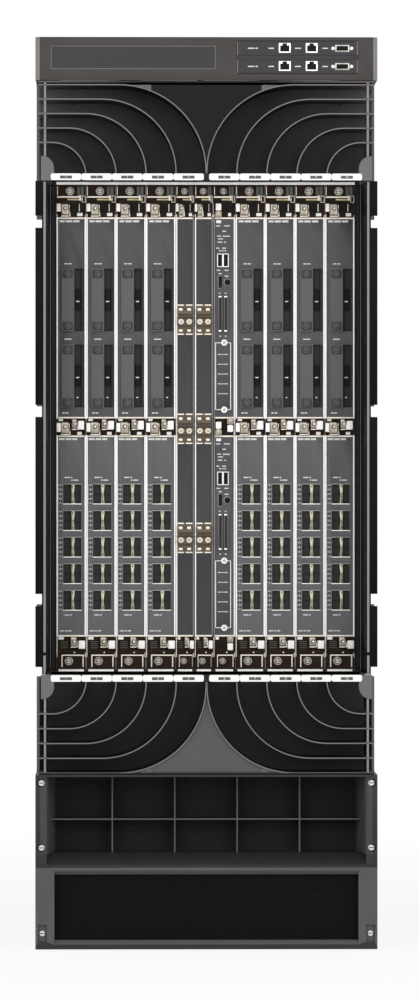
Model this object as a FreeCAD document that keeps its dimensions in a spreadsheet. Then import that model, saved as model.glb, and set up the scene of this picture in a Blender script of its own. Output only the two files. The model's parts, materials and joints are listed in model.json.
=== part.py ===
"""Core router chassis: a 19-inch rack frame, 29 units high, with a vertical card cage.

Millimetres. +X is right, the front faces -Y, +Z is up, and the origin is the middle of the base.
"""
import FreeCAD, Part
import math
import operator
import os
from types import SimpleNamespace

import Sketcher
from FreeCAD import Rotation, Vector

# Driving dimensions. Each one becomes a named cell of the sheet.
SIZES = {
    # rack face and sheet-metal body
    "rack_face_width": 482.6,
    "flange_reach": 19.05,
    "chassis_depth": 870,
    "panel_sheet": 1.5,
    "fold_height": 12,
    "flange_setback": 98,
    "flange_sheet": 2,
    "rack_slot_height": 16,
    "rack_slot_depth": 12.5,
    "rack_slot_lowest": 391.2,
    "rack_slot_first": 494.1,
    "rack_slot_pitch": 266.7,
    # front pieces, from the floor up
    "bezel_clear": 1.5,
    "bezel_height": 115.5,
    "front_gap": 0.5,
    "inlet_height": 130,
    "guide_ledge": 2.5,
    "strip_height": 10.3,
    "shelf_step": 5.2,
    "cage_height": 690.5,
    "strip_lift": 1.2,
    "header_height": 61,
    # clearances
    "slide_gap": 0.3,
    "bearing_gap": 0.05,
    # header bezel and management ports
    "header_wall": 3,
    "header_round": 6,
    "bare_plate_inset": 22,
    "bare_plate_drop": 12.5,
    "bare_plate_gap": 30.1,
    "bare_plate_height": 32.5,
    "bare_plate_depth": 1.5,
    "port_window_inset": 27.5,
    "port_window_drop": 5,
    "port_window_width": 171,
    "port_window_height": 47,
    "port_panel_depth": 8,
    "port_row_pitch": 26.5,
    "port_depth": 3.8,
    "jack_width": 14,
    "jack_height": 12,
    "jack_first": 60,
    "jack_pitch": 38,
    "serial_width": 27,
    "serial_height": 10,
    "serial_centre": 148,
    # cable guides
    "guide_depth": 80,
    "guide_back": 3,
    "guide_leg": 12,
    "fin_sheet": 2,
    "fin_setback": 2,
    "fin_end": 67.8,
    "fin_first_rise": 45,
    "fin_rise_step": 20.75,
    "fin_first_round": 44,
    "fin_round_step": 18.5,
    "guide_side_gap": 4.3,
    "spandrel_setback": 6,
    "spandrel_sheet": 3,
    "rod_inset": 9,
    "rod_size": 4,
    "strip_depth": 8,
    "tab_width": 18.5,
    "tab_height": 34.5,
    "tab_inset": 3.5,
    "tab_sheet": 3,
    "tab_round": 12,
    # slot labels
    "label_end": 17,
    "label_space": 0.8,
    "label_height": 9.4,
    "label_sheet": 1,
    "label_centre_gap": 8,
    # cable brackets at the sides of the cage
    "lip_sheet": 2,
    "lip_width": 11.3,
    "nose_width": 15,
    "notch_height": 17,
    # air inlet
    "inlet_side": 16,
    "inlet_top": 3,
    "inlet_sill": 17,
    "inlet_sill_run": 30,
    "inlet_sill_rise": 14,
    "inlet_chamfer": 9,
    "divider_sheet": 2,
    "divider_end": 3.55,
    "divider_setback": 58,
    "mesh_sheet": 1.8,
    # filter tray
    "bezel_depth": 36,
    "bezel_wall": 4,
    "filter_side": 26.8,
    "filter_low": 12.8,
    "filter_high": 10.4,
    "filter_chamfer": 6,
    "foam_setback": 10,
    "foam_sheet": 14,
    "runner_length": 190,
    "runner_width": 4,
    "runner_height": 10,
    # card cage
    "face_setback": 90,
    "midplane_setback": 555,
    "midplane_sheet": 5,
    "shelf_sheet": 3.2,
    "upper_shelf_lip": 4,
    "lower_shelf_lip": 1,
    "cage_side_gap": 7.75,
    "fabric_pitch": 26.8,
    "control_pitch": 31.6,
    # card carriers and cards
    "rail_sheet": 2.2,
    "rail_depth": 25,
    "carrier_sheet": 2,
    "head_height": 24.5,
    "head_depth": 40,
    "card_depth": 340,
    "face_sheet": 6,
    "board_sheet": 2,
    "board_inset": 1.5,
    "lever_zone": 21.5,
    "lever_overlap": 12,
    "lever_width": 9,
    "lever_stand": 13,
    "lever_sheet": 4,
    "plug_width": 12,
    "plug_depth": 18,
    "plug_height": 120,
    # upper card face: blank optic plates with a well beside each
    "optic_left": 5.2,
    "optic_width": 17.5,
    "optic_height": 89,
    "optic_stand": 4,
    "optic_first": 16,
    "optic_pitch": 108.5,
    "well_width": 11.5,
    # lower card face: blocks of four optic ports
    "cage_left": 7.5,
    "cage_width": 25.3,
    "cage_block_height": 27.5,
    "cage_block_pitch": 37.9,
    "cage_first": 69.6,
    # fabric cards
    "fabric_end_height": 189.5,
    "fabric_depth": 440,
    "latch_height": 6,
    "latch_stand": 7,
    "latch_inset": 5,
    # control cards
    "control_jack_drop": 49,
    "control_jack_width": 10.5,
    "control_jack_height": 14,
    "control_jack_left": 3.5,
    "control_jack_pitch": 12.5,
    "control_plug_drop": 112,
    "control_plug_width": 5,
    "control_plug_height": 51,
    "control_plug_left": 7.5,
    "control_plug_pitch": 8,
    "control_plug_stand": 4,
    "door_drop": 178,
    "door_left": 2.4,
    "door_width": 23,
    "door_height": 97,
    "door_rim": 2,
    "door_stand": 1.5,
    "pin_radius": 2,
    "hub_half": 4,
    "pin_stand": 6.5,
    "ear_sheet": 2,
    "ear_left": 3,
    "arm_length": 15,
    "arm_sheet": 4,
    # power bay and fan bay at the rear
    "power_height": 298,
    "power_depth": 260,
    "power_side_gap": 2.75,
    "power_rows_pitch": 147,
    "power_gap": 0.6,
    "handle_height": 70,
    "handle_width": 14,
    "handle_stand": 30,
    "handle_bar": 6,
    "fan_bay_height": 246,
    "fan_tray_depth": 190,
    "fan_reach": 93,
    "fan_window": 96,
    "fan_wall": 3,
    "fan_hub_radius": 50,
    "fan_hub_depth": 55,
    "fan_shaft_radius": 8,
    "fan_blade_sheet": 4,
    "fan_blade_chord": 36,
    "fan_strut": 20,
}

COLUMNS = 4
FIN_COUNT = 5
BEND_FACETS = 7
LABELS_A_SIDE = 5
PORT_BLOCKS = 5
FAN_BLADES = 5
FAN_BLADE_PITCH = 38
SAME_PLACE = 0.01

doc = FreeCAD.newDocument("core_router")
sheet = doc.addObject("Spreadsheet::Sheet", "Sizes")
for row, (alias, value) in enumerate(SIZES.items(), start=1):
    sheet.set(f"A{row}", alias)
    sheet.set(f"B{row}", str(value))
    sheet.setAlias(f"B{row}", alias)
doc.recompute()


class Dim:
    """A length that keeps its value and the expression that the document binds to."""

    def __init__(self, value, text):
        self.value = value
        self.text = text

    def __add__(self, other):
        return joined(self, "+", other)

    def __sub__(self, other):
        return joined(self, "-", other)

    def __mul__(self, other):
        return joined(self, "*", other)

    def __truediv__(self, other):
        return joined(self, "/", other)

    def __neg__(self):
        return Dim(-self.value, f"(-1 * {self.text})")


def as_dim(size):
    return size if isinstance(size, Dim) else Dim(size, str(size))


SIGNS = {"+": operator.add, "-": operator.sub, "*": operator.mul, "/": operator.truediv}


def joined(left, sign, right):
    right = as_dim(right)
    return Dim(SIGNS[sign](left.value, right.value), f"({left.text} {sign} {right.text})")


s = SimpleNamespace(**{alias: Dim(value, f"Sizes.{alias}") for alias, value in SIZES.items()})

# Levels that several pieces share
HALF_FACE = s.rack_face_width / 2
WALL_OUT = HALF_FACE - s.flange_reach
WALL_IN = WALL_OUT - s.panel_sheet
LIP_INNER = HALF_FACE - s.lip_width
NOSE_INNER = HALF_FACE - s.nose_width
GUIDE_REACH = HALF_FACE - s.guide_side_gap
TAB_EDGE = GUIDE_REACH - s.tab_inset
FIN_PITCH = (GUIDE_REACH - s.fin_end) / (FIN_COUNT - 1)
LABEL_PITCH = (GUIDE_REACH - s.label_end - s.label_centre_gap / 2) / LABELS_A_SIDE
FRONT = -s.chassis_depth / 2
REAR = s.chassis_depth / 2
FLANGE = FRONT + s.flange_setback
FACE = FRONT + s.face_setback
MIDPLANE = FRONT + s.midplane_setback
MIDPLANE_BACK = MIDPLANE + s.midplane_sheet

BEZEL_0 = s.bezel_clear
BEZEL_1 = BEZEL_0 + s.bezel_height
INLET_0 = BEZEL_1 + s.front_gap
INLET_1 = INLET_0 + s.inlet_height
GUIDE_RISE = s.fin_first_rise + s.fin_rise_step * (FIN_COUNT - 1)
LOWER_STRIP_0 = INLET_1 + s.front_gap + s.guide_ledge + GUIDE_RISE
LOWER_STRIP_1 = LOWER_STRIP_0 + s.strip_height
CAGE_0 = LOWER_STRIP_1 + s.shelf_step
CAGE_1 = CAGE_0 + s.cage_height
CAGE_MID = CAGE_0 + s.cage_height / 2
UPPER_STRIP_0 = CAGE_1 + s.strip_lift
UPPER_STRIP_1 = UPPER_STRIP_0 + s.strip_height
UPPER_GUIDE_1 = UPPER_STRIP_1 + GUIDE_RISE + s.guide_ledge
HEADER_0 = UPPER_GUIDE_1 + s.front_gap
TOP = HEADER_0 + s.header_height
STRIP_MIRROR = (LOWER_STRIP_1 + UPPER_STRIP_0) / 2

POWER_TOP = s.panel_sheet + s.power_height
FAN_FLOOR = TOP - s.panel_sheet - s.fan_bay_height

# Left edges of the card columns: wide, two fabric, one control, wide
ARRAY_LEFT = s.cage_side_gap - WALL_IN
WIDE_PITCH = (-ARRAY_LEFT * 2 - s.fabric_pitch * 2 - s.control_pitch) / (2 * COLUMNS)
FABRIC_LEFT = ARRAY_LEFT + WIDE_PITCH * COLUMNS
CONTROL_LEFT = FABRIC_LEFT + s.fabric_pitch * 2
RIGHT_BANK_LEFT = CONTROL_LEFT + s.control_pitch


def bind(item, prop, size):
    item.setExpression(prop, as_dim(size).text)


def move(item, x, y, z):
    bind(item, "Placement.Base.x", x)
    bind(item, "Placement.Base.y", y)
    bind(item, "Placement.Base.z", z)


def box(name, x, y, z):
    """Block between two values along each axis."""
    item = doc.addObject("Part::Box", name)
    bind(item, "Length", x[1] - x[0])
    bind(item, "Width", y[1] - y[0])
    bind(item, "Height", z[1] - z[0])
    move(item, x[0], y[0], z[0])
    return item


def rod_along_y(name, x, y, z, radius):
    item = doc.addObject("Part::Cylinder", name)
    bind(item, "Radius", radius)
    bind(item, "Height", y[1] - y[0])
    item.Placement.Rotation = Rotation(Vector(1, 0, 0), -90)
    move(item, x, y[0], z)
    return item


def rod_along_x(name, x, y, z, radius):
    item = doc.addObject("Part::Cylinder", name)
    bind(item, "Radius", radius)
    bind(item, "Height", x[1] - x[0])
    item.Placement.Rotation = Rotation(Vector(0, 1, 0), 90)
    move(item, x[0], y, z)
    return item


def prism(name, plane, corners, span):
    """Polygon sketched on an origin plane and padded over a span of the third axis."""
    body = doc.addObject("PartDesign::Body", name)
    sketch = body.newObject("Sketcher::SketchObject", name + "_outline")
    support = next(item for item in body.Origin.OriginFeatures if item.Role == plane)
    sketch.AttachmentSupport = [(support, "")]
    sketch.MapMode = "FlatFace"
    backwards = plane == "XZ_Plane"
    bind(sketch, "AttachmentOffset.Base.z", -span[1] if backwards else span[0])
    points = [Vector(as_dim(u).value, as_dim(v).value, 0) for u, v in corners]
    for index, point in enumerate(points):
        sketch.addGeometry(Part.LineSegment(point, points[(index + 1) % len(points)]), False)
    for index, (u, v) in enumerate(corners):
        previous = (index - 1) % len(corners)
        sketch.addConstraint(Sketcher.Constraint("Coincident", previous, 2, index, 1))
        for kind, size in (("DistanceX", u), ("DistanceY", v)):
            number = sketch.addConstraint(
                Sketcher.Constraint(kind, -1, 1, index, 1, as_dim(size).value))
            bind(sketch, f"Constraints[{number}]", size)
    pad = body.newObject("PartDesign::Pad", name + "_pad")
    pad.Profile = sketch
    bind(pad, "Length", span[1] - span[0])
    body.Tip = pad
    return body


def round_edges(body, radius, chosen):
    """Fillet the edges of a padded body whose middle point passes a test."""
    doc.recompute()
    base = body.Tip
    names = []
    for number, edge in enumerate(base.Shape.Edges, start=1):
        if chosen(edge.CenterOfMass):
            names.append(f"Edge{number}")
    fillet = body.newObject("PartDesign::Fillet", body.Name + "_round")
    fillet.Base = (base, names)
    bind(fillet, "Radius", radius)
    body.Tip = fillet
    return body


def fuse(name, pieces):
    item = doc.addObject("Part::MultiFuse", name)
    item.Shapes = pieces
    item.Refine = True
    return item


def group(name, pieces):
    item = doc.addObject("Part::Compound", name)
    item.Links = pieces
    return item


def cut(name, base, tools):
    item = doc.addObject("Part::Cut", name)
    item.Base = base
    item.Tool = tools[0] if len(tools) == 1 else group(name + "_cuts", tools)
    item.Refine = True
    return item


def mirrored(name, source, normal, height=None):
    item = doc.addObject("Part::Mirroring", name)
    item.Source = source
    item.Normal = normal
    if height is not None:
        bind(item, "Base.z", height)
    return item


def copied(name, form, x):
    """One more of a form, set at a column's left edge."""
    item = group(name, [form])
    bind(item, "Placement.Base.x", x)
    return item


NODES = {}


def node(name, item):
    item.Label = name
    NODES[name] = item
    return item


def side_panels():
    """Folded walls whose front edges turn out into the slotted rack flanges."""
    corners = [
        (WALL_IN, FLANGE), (HALF_FACE, FLANGE), (HALF_FACE, FLANGE + s.flange_sheet),
        (WALL_OUT, FLANGE + s.flange_sheet), (WALL_OUT, REAR), (WALL_IN, REAR),
    ]
    wall = prism("side_wall", "XY_Plane", corners, (s.panel_sheet, TOP - s.panel_sheet))
    slots = []
    for number, level in enumerate(slot_levels()):
        slots.append(box(
            f"rack_slot_{number}",
            (HALF_FACE - s.rack_slot_depth, HALF_FACE + s.panel_sheet),
            (FLANGE - s.panel_sheet, FLANGE + s.flange_sheet * 2),
            (level - s.rack_slot_height / 2, level + s.rack_slot_height / 2)))
    right = node("right_side_panel", cut("right_side_panel", wall, slots))
    node("left_side_panel", mirrored("left_side_panel", right, Vector(1, 0, 0)))


def slot_levels():
    first = s.rack_slot_first
    return [s.rack_slot_lowest, first, first + s.rack_slot_pitch, first + s.rack_slot_pitch * 2]


def folded_plate(name, face, inside, fold):
    """Flat plate between the chassis walls with its two long edges folded inwards."""
    rim = WALL_IN - s.panel_sheet
    corners = [
        (-WALL_OUT, face), (WALL_OUT, face), (WALL_OUT, inside), (WALL_IN, inside),
        (WALL_IN, fold), (rim, fold), (rim, inside), (-rim, inside),
        (-rim, fold), (-WALL_IN, fold), (-WALL_IN, inside), (-WALL_OUT, inside),
    ]
    return node(name, prism(name, "XZ_Plane", corners, (FLANGE, REAR)))


def rear_panel():
    """Plain cover between the power bay and the fan bay."""
    node("rear_panel", box(
        "rear_panel", (-WALL_IN, WALL_IN), (REAR - s.panel_sheet, REAR),
        (POWER_TOP + s.panel_sheet, FAN_FLOOR - s.panel_sheet)))


def inner_shelves():
    """Cage shelves with front lips, and the plain shelves of the power and fan bays."""
    front = FACE - s.carrier_sheet
    low_top = CAGE_0 - s.slide_gap
    low_bottom = low_top - s.shelf_sheet
    high_bottom = CAGE_1 + s.slide_gap
    high_top = high_bottom + s.shelf_sheet
    lip = front + s.panel_sheet
    lower = [(front, low_top), (MIDPLANE, low_top), (MIDPLANE, low_bottom), (lip, low_bottom),
             (lip, low_bottom - s.lower_shelf_lip), (front, low_bottom - s.lower_shelf_lip)]
    upper = [(front, high_bottom), (MIDPLANE, high_bottom), (MIDPLANE, high_top),
             (lip, high_top), (lip, high_top + s.upper_shelf_lip),
             (front, high_top + s.upper_shelf_lip)]
    across = (-WALL_IN, WALL_IN)
    bay = (MIDPLANE_BACK, REAR)
    node("inner_shelves", group("inner_shelves", [
        prism("lower_cage_shelf", "YZ_Plane", lower, across),
        prism("upper_cage_shelf", "YZ_Plane", upper, across),
        box("power_shelf", across, bay, (POWER_TOP, POWER_TOP + s.panel_sheet)),
        box("fan_shelf", across, bay, (FAN_FLOOR - s.panel_sheet, FAN_FLOOR)),
    ]))


def midplane():
    """Board across the cage that the carriers and cards plug into."""
    node("midplane", box(
        "midplane", (-WALL_IN, WALL_IN), (MIDPLANE, MIDPLANE_BACK),
        (POWER_TOP + s.panel_sheet, FAN_FLOOR - s.panel_sheet)))


def header_bezel():
    """Hood with rounded front edges, a bare recessed plate and the port window."""
    inner = HALF_FACE - s.header_wall
    back = FRONT + s.header_wall
    corners = [(-HALF_FACE, FRONT), (HALF_FACE, FRONT), (HALF_FACE, FLANGE), (inner, FLANGE),
               (inner, back), (-inner, back), (-inner, FLANGE), (-HALF_FACE, FLANGE)]
    hood = prism("header_hood", "XY_Plane", corners, (HEADER_0, TOP))
    round_edges(hood, s.header_round, lambda p: p.y < FRONT.value + SAME_PLACE
                and abs(p.x) > HALF_FACE.value - SAME_PLACE)
    window_right = HALF_FACE - s.port_window_inset
    window_left = window_right - s.port_window_width
    window_top = TOP - s.port_window_drop
    plate_top = TOP - s.bare_plate_drop
    recess = box("bare_plate_recess",
                 (-HALF_FACE + s.bare_plate_inset, window_left - s.bare_plate_gap),
                 (FRONT - s.header_wall, FRONT + s.bare_plate_depth),
                 (plate_top - s.bare_plate_height, plate_top))
    window = box("port_window", (window_left, window_right),
                 (FRONT - s.header_wall, FRONT + s.header_wall * 2),
                 (window_top - s.port_window_height, window_top))
    roof = box("header_roof", (-inner, inner), (back, FLANGE), (TOP - s.header_wall, TOP))
    shell = cut("header_shell", hood, [recess, window])
    node("header_bezel", fuse("header_bezel", [shell, roof]))


def management_ports():
    """Port panel in the header window: two rows of two jacks and a serial port."""
    right = HALF_FACE - s.port_window_inset - s.slide_gap
    left = right - s.port_window_width + s.slide_gap * 2
    top = TOP - s.port_window_drop - s.slide_gap
    bottom = top - s.port_window_height + s.slide_gap * 2
    front = FRONT + s.bare_plate_depth
    panel = box("port_panel", (left, right), (front, front + s.port_panel_depth), (bottom, top))
    deep = (front - s.port_depth, front + s.port_depth)
    middle = (top + bottom) / 2
    sockets = []
    for row, side in enumerate((-1, 1)):
        level = middle + s.port_row_pitch * side / 2
        for column in range(2):
            centre = left + s.jack_first + s.jack_pitch * column
            sockets.append(box(f"jack_{row}{column}",
                               (centre - s.jack_width / 2, centre + s.jack_width / 2), deep,
                               (level - s.jack_height / 2, level + s.jack_height / 2)))
        centre = left + s.serial_centre
        sockets.append(box(f"serial_{row}",
                           (centre - s.serial_width / 2, centre + s.serial_width / 2), deep,
                           (level - s.serial_height / 2, level + s.serial_height / 2)))
    node("management_ports", cut("management_ports", panel, sockets))


def bend_points(centre, radius):
    """Points round a quarter bend, from its top to its right side."""
    points = []
    for step in range(BEND_FACETS + 1):
        turn = math.pi / 2 * step / BEND_FACETS
        points.append((centre[0] + radius * math.sin(turn), centre[1] + radius * math.cos(turn)))
    return points


def fin_bend(number):
    """Middle of one fin's bend in the left half, and the bend's radius."""
    rise = UPPER_STRIP_1 + s.fin_first_rise + s.fin_rise_step * number
    radius = s.fin_first_round + s.fin_round_step * number
    foot = -FIN_PITCH * (FIN_COUNT - 1 - number) - s.fin_sheet / 2
    return (foot - radius, rise - radius), radius


def guide_fin(number):
    """One curved fin of the left half: in from the side, round a bend and down to the strip."""
    centre, radius = fin_bend(number)
    half = s.fin_sheet / 2
    outside = bend_points(centre, radius + half)
    inside = bend_points(centre, radius - half)
    corners = [(-GUIDE_REACH, outside[0][1]), *outside, (outside[-1][0], UPPER_STRIP_0),
               (inside[-1][0], UPPER_STRIP_0), *reversed(inside), (-GUIDE_REACH, inside[0][1])]
    depth = (FRONT + s.fin_setback, FRONT + s.guide_depth + s.guide_back / 2)
    return prism(f"fin_{number}", "XZ_Plane", corners, depth)


def cable_guides():
    """Moulded trays whose curved fins lead cables from the sides down to each card."""
    back = (FRONT + s.guide_depth, FRONT + s.guide_depth + s.guide_back)
    high = UPPER_GUIDE_1
    half = [guide_fin(number) for number in range(FIN_COUNT)]
    rod = s.rod_inset - GUIDE_REACH
    half.append(box("guide_rod", (rod - s.rod_size / 2, rod + s.rod_size / 2),
                    (FRONT + s.fin_setback, FRONT + s.fin_setback + s.rod_size),
                    (UPPER_STRIP_0 + s.strip_height / 2, high)))
    half.append(box("guide_leg", (-GUIDE_REACH, -GUIDE_REACH + s.guide_leg),
                    (back[0], FLANGE), (UPPER_STRIP_1, high)))
    tab = prism("guide_tab", "XZ_Plane", [
        (-TAB_EDGE, UPPER_STRIP_0), (-TAB_EDGE + s.tab_width, UPPER_STRIP_0),
        (-TAB_EDGE + s.tab_width, UPPER_STRIP_0 + s.tab_height),
        (-TAB_EDGE, UPPER_STRIP_0 + s.tab_height),
    ], (FRONT + s.label_sheet, FRONT + s.label_sheet + s.tab_sheet))
    corner = (-TAB_EDGE + s.tab_width).value, (UPPER_STRIP_0 + s.tab_height).value
    half.append(round_edges(tab, s.tab_round, lambda p: abs(p.x - corner[0]) < SAME_PLACE
                            and abs(p.z - corner[1]) < SAME_PLACE))
    half.append(box("guide_back_panel", (-GUIDE_REACH, as_dim(0)), back, (UPPER_STRIP_0, high)))
    half.append(box("guide_ledge_plate", (-GUIDE_REACH, as_dim(0)),
                    (FRONT + s.fin_setback, back[1]), (high - s.guide_ledge, high)))
    half.append(box("guide_strip", (-TAB_EDGE + s.tab_width / 2, as_dim(0)),
                    (FRONT + s.label_sheet, FRONT + s.label_sheet + s.strip_depth),
                    (UPPER_STRIP_0, UPPER_STRIP_1)))
    half.append(spandrel())
    left = fuse("guide_half", half)
    right = mirrored("guide_other_half", left, Vector(1, 0, 0))
    upper = node("upper_cable_guide", fuse("upper_cable_guide", [left, right]))
    node("lower_cable_guide",
         mirrored("lower_cable_guide", upper, Vector(0, 0, 1), STRIP_MIRROR))


def spandrel():
    """Flat plate under the ledge that fills the space between the two outermost bends."""
    centre, radius = fin_bend(FIN_COUNT - 1)
    corners = [(centre[0], UPPER_GUIDE_1), *bend_points(centre, radius),
               (as_dim(0), centre[1]), (as_dim(0), UPPER_GUIDE_1)]
    depth = (FRONT + s.spandrel_setback, FRONT + s.spandrel_setback + s.spandrel_sheet)
    return prism("spandrel_plate", "XZ_Plane", corners, depth)


def slot_labels():
    """Label tiles on the strips above and below the cards."""
    tiles = []
    for strip, level in enumerate((LOWER_STRIP_0, UPPER_STRIP_0)):
        low = level + (s.strip_height - s.label_height) / 2
        for side in (-1, 1):
            for place in range(LABELS_A_SIDE):
                near = s.label_centre_gap / 2 + LABEL_PITCH * place
                far = near + LABEL_PITCH - s.label_space
                across = (near, far) if side > 0 else (-far, -near)
                tiles.append(box(f"label_{strip}{side + 1}{place}", across,
                                 (FRONT, FRONT + s.label_sheet), (low, low + s.label_height)))
    node("slot_labels", group("slot_labels", tiles))


def cable_brackets():
    """Folded channels beside the cage, with open notches in their front lips."""
    back = FRONT + s.lip_sheet
    corners = [
        (HALF_FACE, FRONT), (HALF_FACE, back), (LIP_INNER + s.lip_sheet, back),
        (LIP_INNER + s.lip_sheet, FLANGE), (LIP_INNER, FLANGE), (LIP_INNER, back),
        (NOSE_INNER + s.lip_sheet, back), (WALL_OUT + s.lip_sheet, FLANGE),
        (WALL_OUT, FLANGE), (NOSE_INNER, FRONT),
    ]
    span = (LOWER_STRIP_1 + s.front_gap, UPPER_STRIP_0 - s.front_gap)
    channel = prism("bracket_channel", "XY_Plane", corners, span)
    notches = []
    for number, level in enumerate(slot_levels()):
        notches.append(box(
            f"notch_{number}", (LIP_INNER + s.lip_sheet, HALF_FACE + s.lip_sheet),
            (FRONT - s.lip_sheet, back + s.lip_sheet),
            (level - s.notch_height / 2, level + s.notch_height / 2)))
    right = cut("bracket_right", channel, notches)
    left = mirrored("bracket_left", right, Vector(1, 0, 0))
    node("cable_brackets", group("cable_brackets", [left, right]))


def inlet_frame():
    """Deep frame with chamfered cheeks, a sloping sill and five bays in two rows."""
    outer = box("inlet_outer", (-HALF_FACE, HALF_FACE), (FRONT, FLANGE), (INLET_0, INLET_1))
    cheek = HALF_FACE - s.inlet_side
    flare = cheek + s.inlet_chamfer
    front = FRONT - s.divider_sheet
    through = FLANGE + s.divider_sheet
    bevel = FRONT + s.inlet_chamfer
    sill = INLET_0 + s.inlet_sill
    head = INLET_1 - s.inlet_top
    mouth = prism("inlet_mouth", "XY_Plane", [
        (-flare, front), (flare, front), (flare, FRONT), (cheek, bevel), (cheek, through),
        (-cheek, through), (-cheek, bevel), (-flare, FRONT)], (sill, head))
    slope = prism("inlet_slope", "YZ_Plane", [
        (front, sill - s.inlet_sill_rise), (FRONT, sill - s.inlet_sill_rise),
        (FRONT + s.inlet_sill_run, sill), (FRONT + s.inlet_sill_run, sill + s.divider_sheet),
        (front, sill + s.divider_sheet)], (-cheek, cheek))
    pieces = [cut("inlet_shell", outer, [mouth, slope])]
    depth = (FRONT + s.divider_setback, FLANGE - s.mesh_sheet)
    half = s.divider_sheet / 2
    bay = (cheek - s.divider_end) * 2 / (COLUMNS + 1)
    for number in range(COLUMNS):
        x = bay * (number - (COLUMNS - 1) / 2)
        pieces.append(box(f"inlet_post_{number}", (x - half, x + half), depth,
                          (sill - half, head + half)))
    middle = (sill + head) / 2
    pieces.append(box("inlet_bar", (-cheek - half, cheek + half), depth,
                      (middle - half, middle + half)))
    node("inlet_frame", fuse("inlet_frame", pieces))
    node("inlet_mesh", box("inlet_mesh", (-cheek, cheek), (FLANGE - s.mesh_sheet, FLANGE),
                           (sill, head)))


def filter_tray():
    """Bezel with a wide window, runners that ride on the base pan, and the foam in the window."""
    side = HALF_FACE - s.filter_side
    low = BEZEL_0 + s.filter_low
    high = BEZEL_1 - s.filter_high
    back = FRONT + s.bezel_depth
    rim = FLANGE - s.slide_gap
    wall = s.bezel_wall
    outer = box("bezel_outer", (-HALF_FACE, HALF_FACE), (FRONT, rim), (BEZEL_0, BEZEL_1))
    hollow = box("bezel_hollow", (-HALF_FACE + wall, HALF_FACE - wall), (back, rim + wall),
                 (BEZEL_0 + wall, BEZEL_1 - wall))
    window = box("bezel_window", (-side, side), (FRONT - s.panel_sheet, back + s.panel_sheet),
                 (low, high))
    flare = prism("bezel_flare", "YZ_Plane", [
        (FRONT - s.panel_sheet, low - s.filter_chamfer), (FRONT, low - s.filter_chamfer),
        (FRONT + s.filter_chamfer, low), (FRONT + s.filter_chamfer, high),
        (FRONT, high + s.filter_chamfer), (FRONT - s.panel_sheet, high + s.filter_chamfer),
    ], (-side, side))
    opening = fuse("bezel_opening", [window, flare, hollow])
    pieces = [cut("bezel_frame", outer, [opening])]
    runner_out = WALL_IN - s.panel_sheet - s.slide_gap
    runner_low = s.panel_sheet + s.slide_gap
    for name, turn in (("right", 1), ("left", -1)):
        near, far = runner_out - s.runner_width, runner_out
        across = (near, far) if turn > 0 else (-far, -near)
        pieces.append(box(f"runner_{name}", across, (back, back + s.runner_length),
                          (runner_low, runner_low + s.runner_height)))
    node("filter_bezel", fuse("filter_bezel", pieces))
    gap = s.slide_gap
    node("filter_foam", box(
        "filter_foam", (-side + gap, side - gap),
        (FRONT + s.foam_setback, FRONT + s.foam_setback + s.foam_sheet), (low + gap, high - gap)))


CARRIER_WIDTH = WIDE_PITCH - s.slide_gap
CARRIER_FRONT = FACE - s.carrier_sheet
CARRIER_BACK = MIDPLANE - s.slide_gap


def carriers():
    """Frames that fill a column: a full-depth side plate, a front rail and a head at each end."""
    deep = (CARRIER_FRONT, CARRIER_BACK)
    head = (CARRIER_FRONT, CARRIER_FRONT + s.head_depth)
    across = (as_dim(0), CARRIER_WIDTH)
    tall = (CAGE_0, CAGE_1)
    board = FACE + s.card_depth + s.slide_gap
    pieces = [
        box("carrier_wall", (as_dim(0), s.rail_sheet), deep, tall),
        box("carrier_rail", (CARRIER_WIDTH - s.rail_sheet, CARRIER_WIDTH),
            (CARRIER_FRONT, CARRIER_FRONT + s.rail_depth), tall),
        box("carrier_roof", across, deep, (CAGE_1 - s.carrier_sheet, CAGE_1)),
        box("carrier_floor", across, deep, (CAGE_0, CAGE_0 + s.carrier_sheet)),
        box("carrier_backboard", across, (board, board + s.carrier_sheet), tall),
        box("carrier_high_shelf", across, head,
            (CAGE_1 - s.head_height, CAGE_1 - s.head_height + s.carrier_sheet)),
        box("carrier_low_shelf", across, head,
            (CAGE_0 + s.head_height - s.carrier_sheet, CAGE_0 + s.head_height)),
    ]
    form = fuse("carrier_form", pieces)
    for place, left in enumerate(wide_columns(), start=1):
        node(f"carrier_{place}", copied(f"carrier_{place}", form, left))


def wide_columns():
    left_bank = [ARRAY_LEFT + WIDE_PITCH * place for place in range(COLUMNS)]
    right_bank = [RIGHT_BANK_LEFT + WIDE_PITCH * place for place in range(COLUMNS)]
    return left_bank + right_bank


CARD_LEFT = s.rail_sheet + s.slide_gap
CARD_WIDTH = CARRIER_WIDTH - CARD_LEFT * 2


def lever(name, left, root, tip):
    """Ejector lever that leaves the card face at its root and turns over at its tip."""
    out = FACE - s.lever_stand
    step = (tip - root) / 3
    corners = [(FACE, root), (out, tip - step), (out, tip), (out + s.lever_sheet, tip),
               (FACE, root + step)]
    return prism(name, "YZ_Plane", corners, (left, left + s.lever_width))


def card_body(name, left, width, bottom, top, tongues, depth):
    """Face with a tongue at each lever, and a board behind it with a plug at its rear edge."""
    behind = FACE + s.face_sheet
    board_left = left + s.board_inset
    board_right = board_left + s.board_sheet
    middle = (bottom + top) / 2
    pieces = [
        box(name + "_face", (left, left + width), (FACE, behind), (bottom, top)),
        box(name + "_board", (board_left, board_right), (behind, FACE + depth), (bottom, top)),
        box(name + "_plug", (board_right, board_right + s.plug_width),
            (FACE + depth - s.plug_depth, FACE + depth),
            (middle - s.plug_height / 2, middle + s.plug_height / 2)),
    ]
    for end, (side, low, high) in tongues.items():
        near = left if side == "left" else left + width / 2 + s.slide_gap
        far = left + width / 2 - s.slide_gap if side == "left" else left + width
        pieces.append(box(f"{name}_{end}_tongue", (near, far), (FACE, behind), (low, high)))
    return pieces


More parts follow.
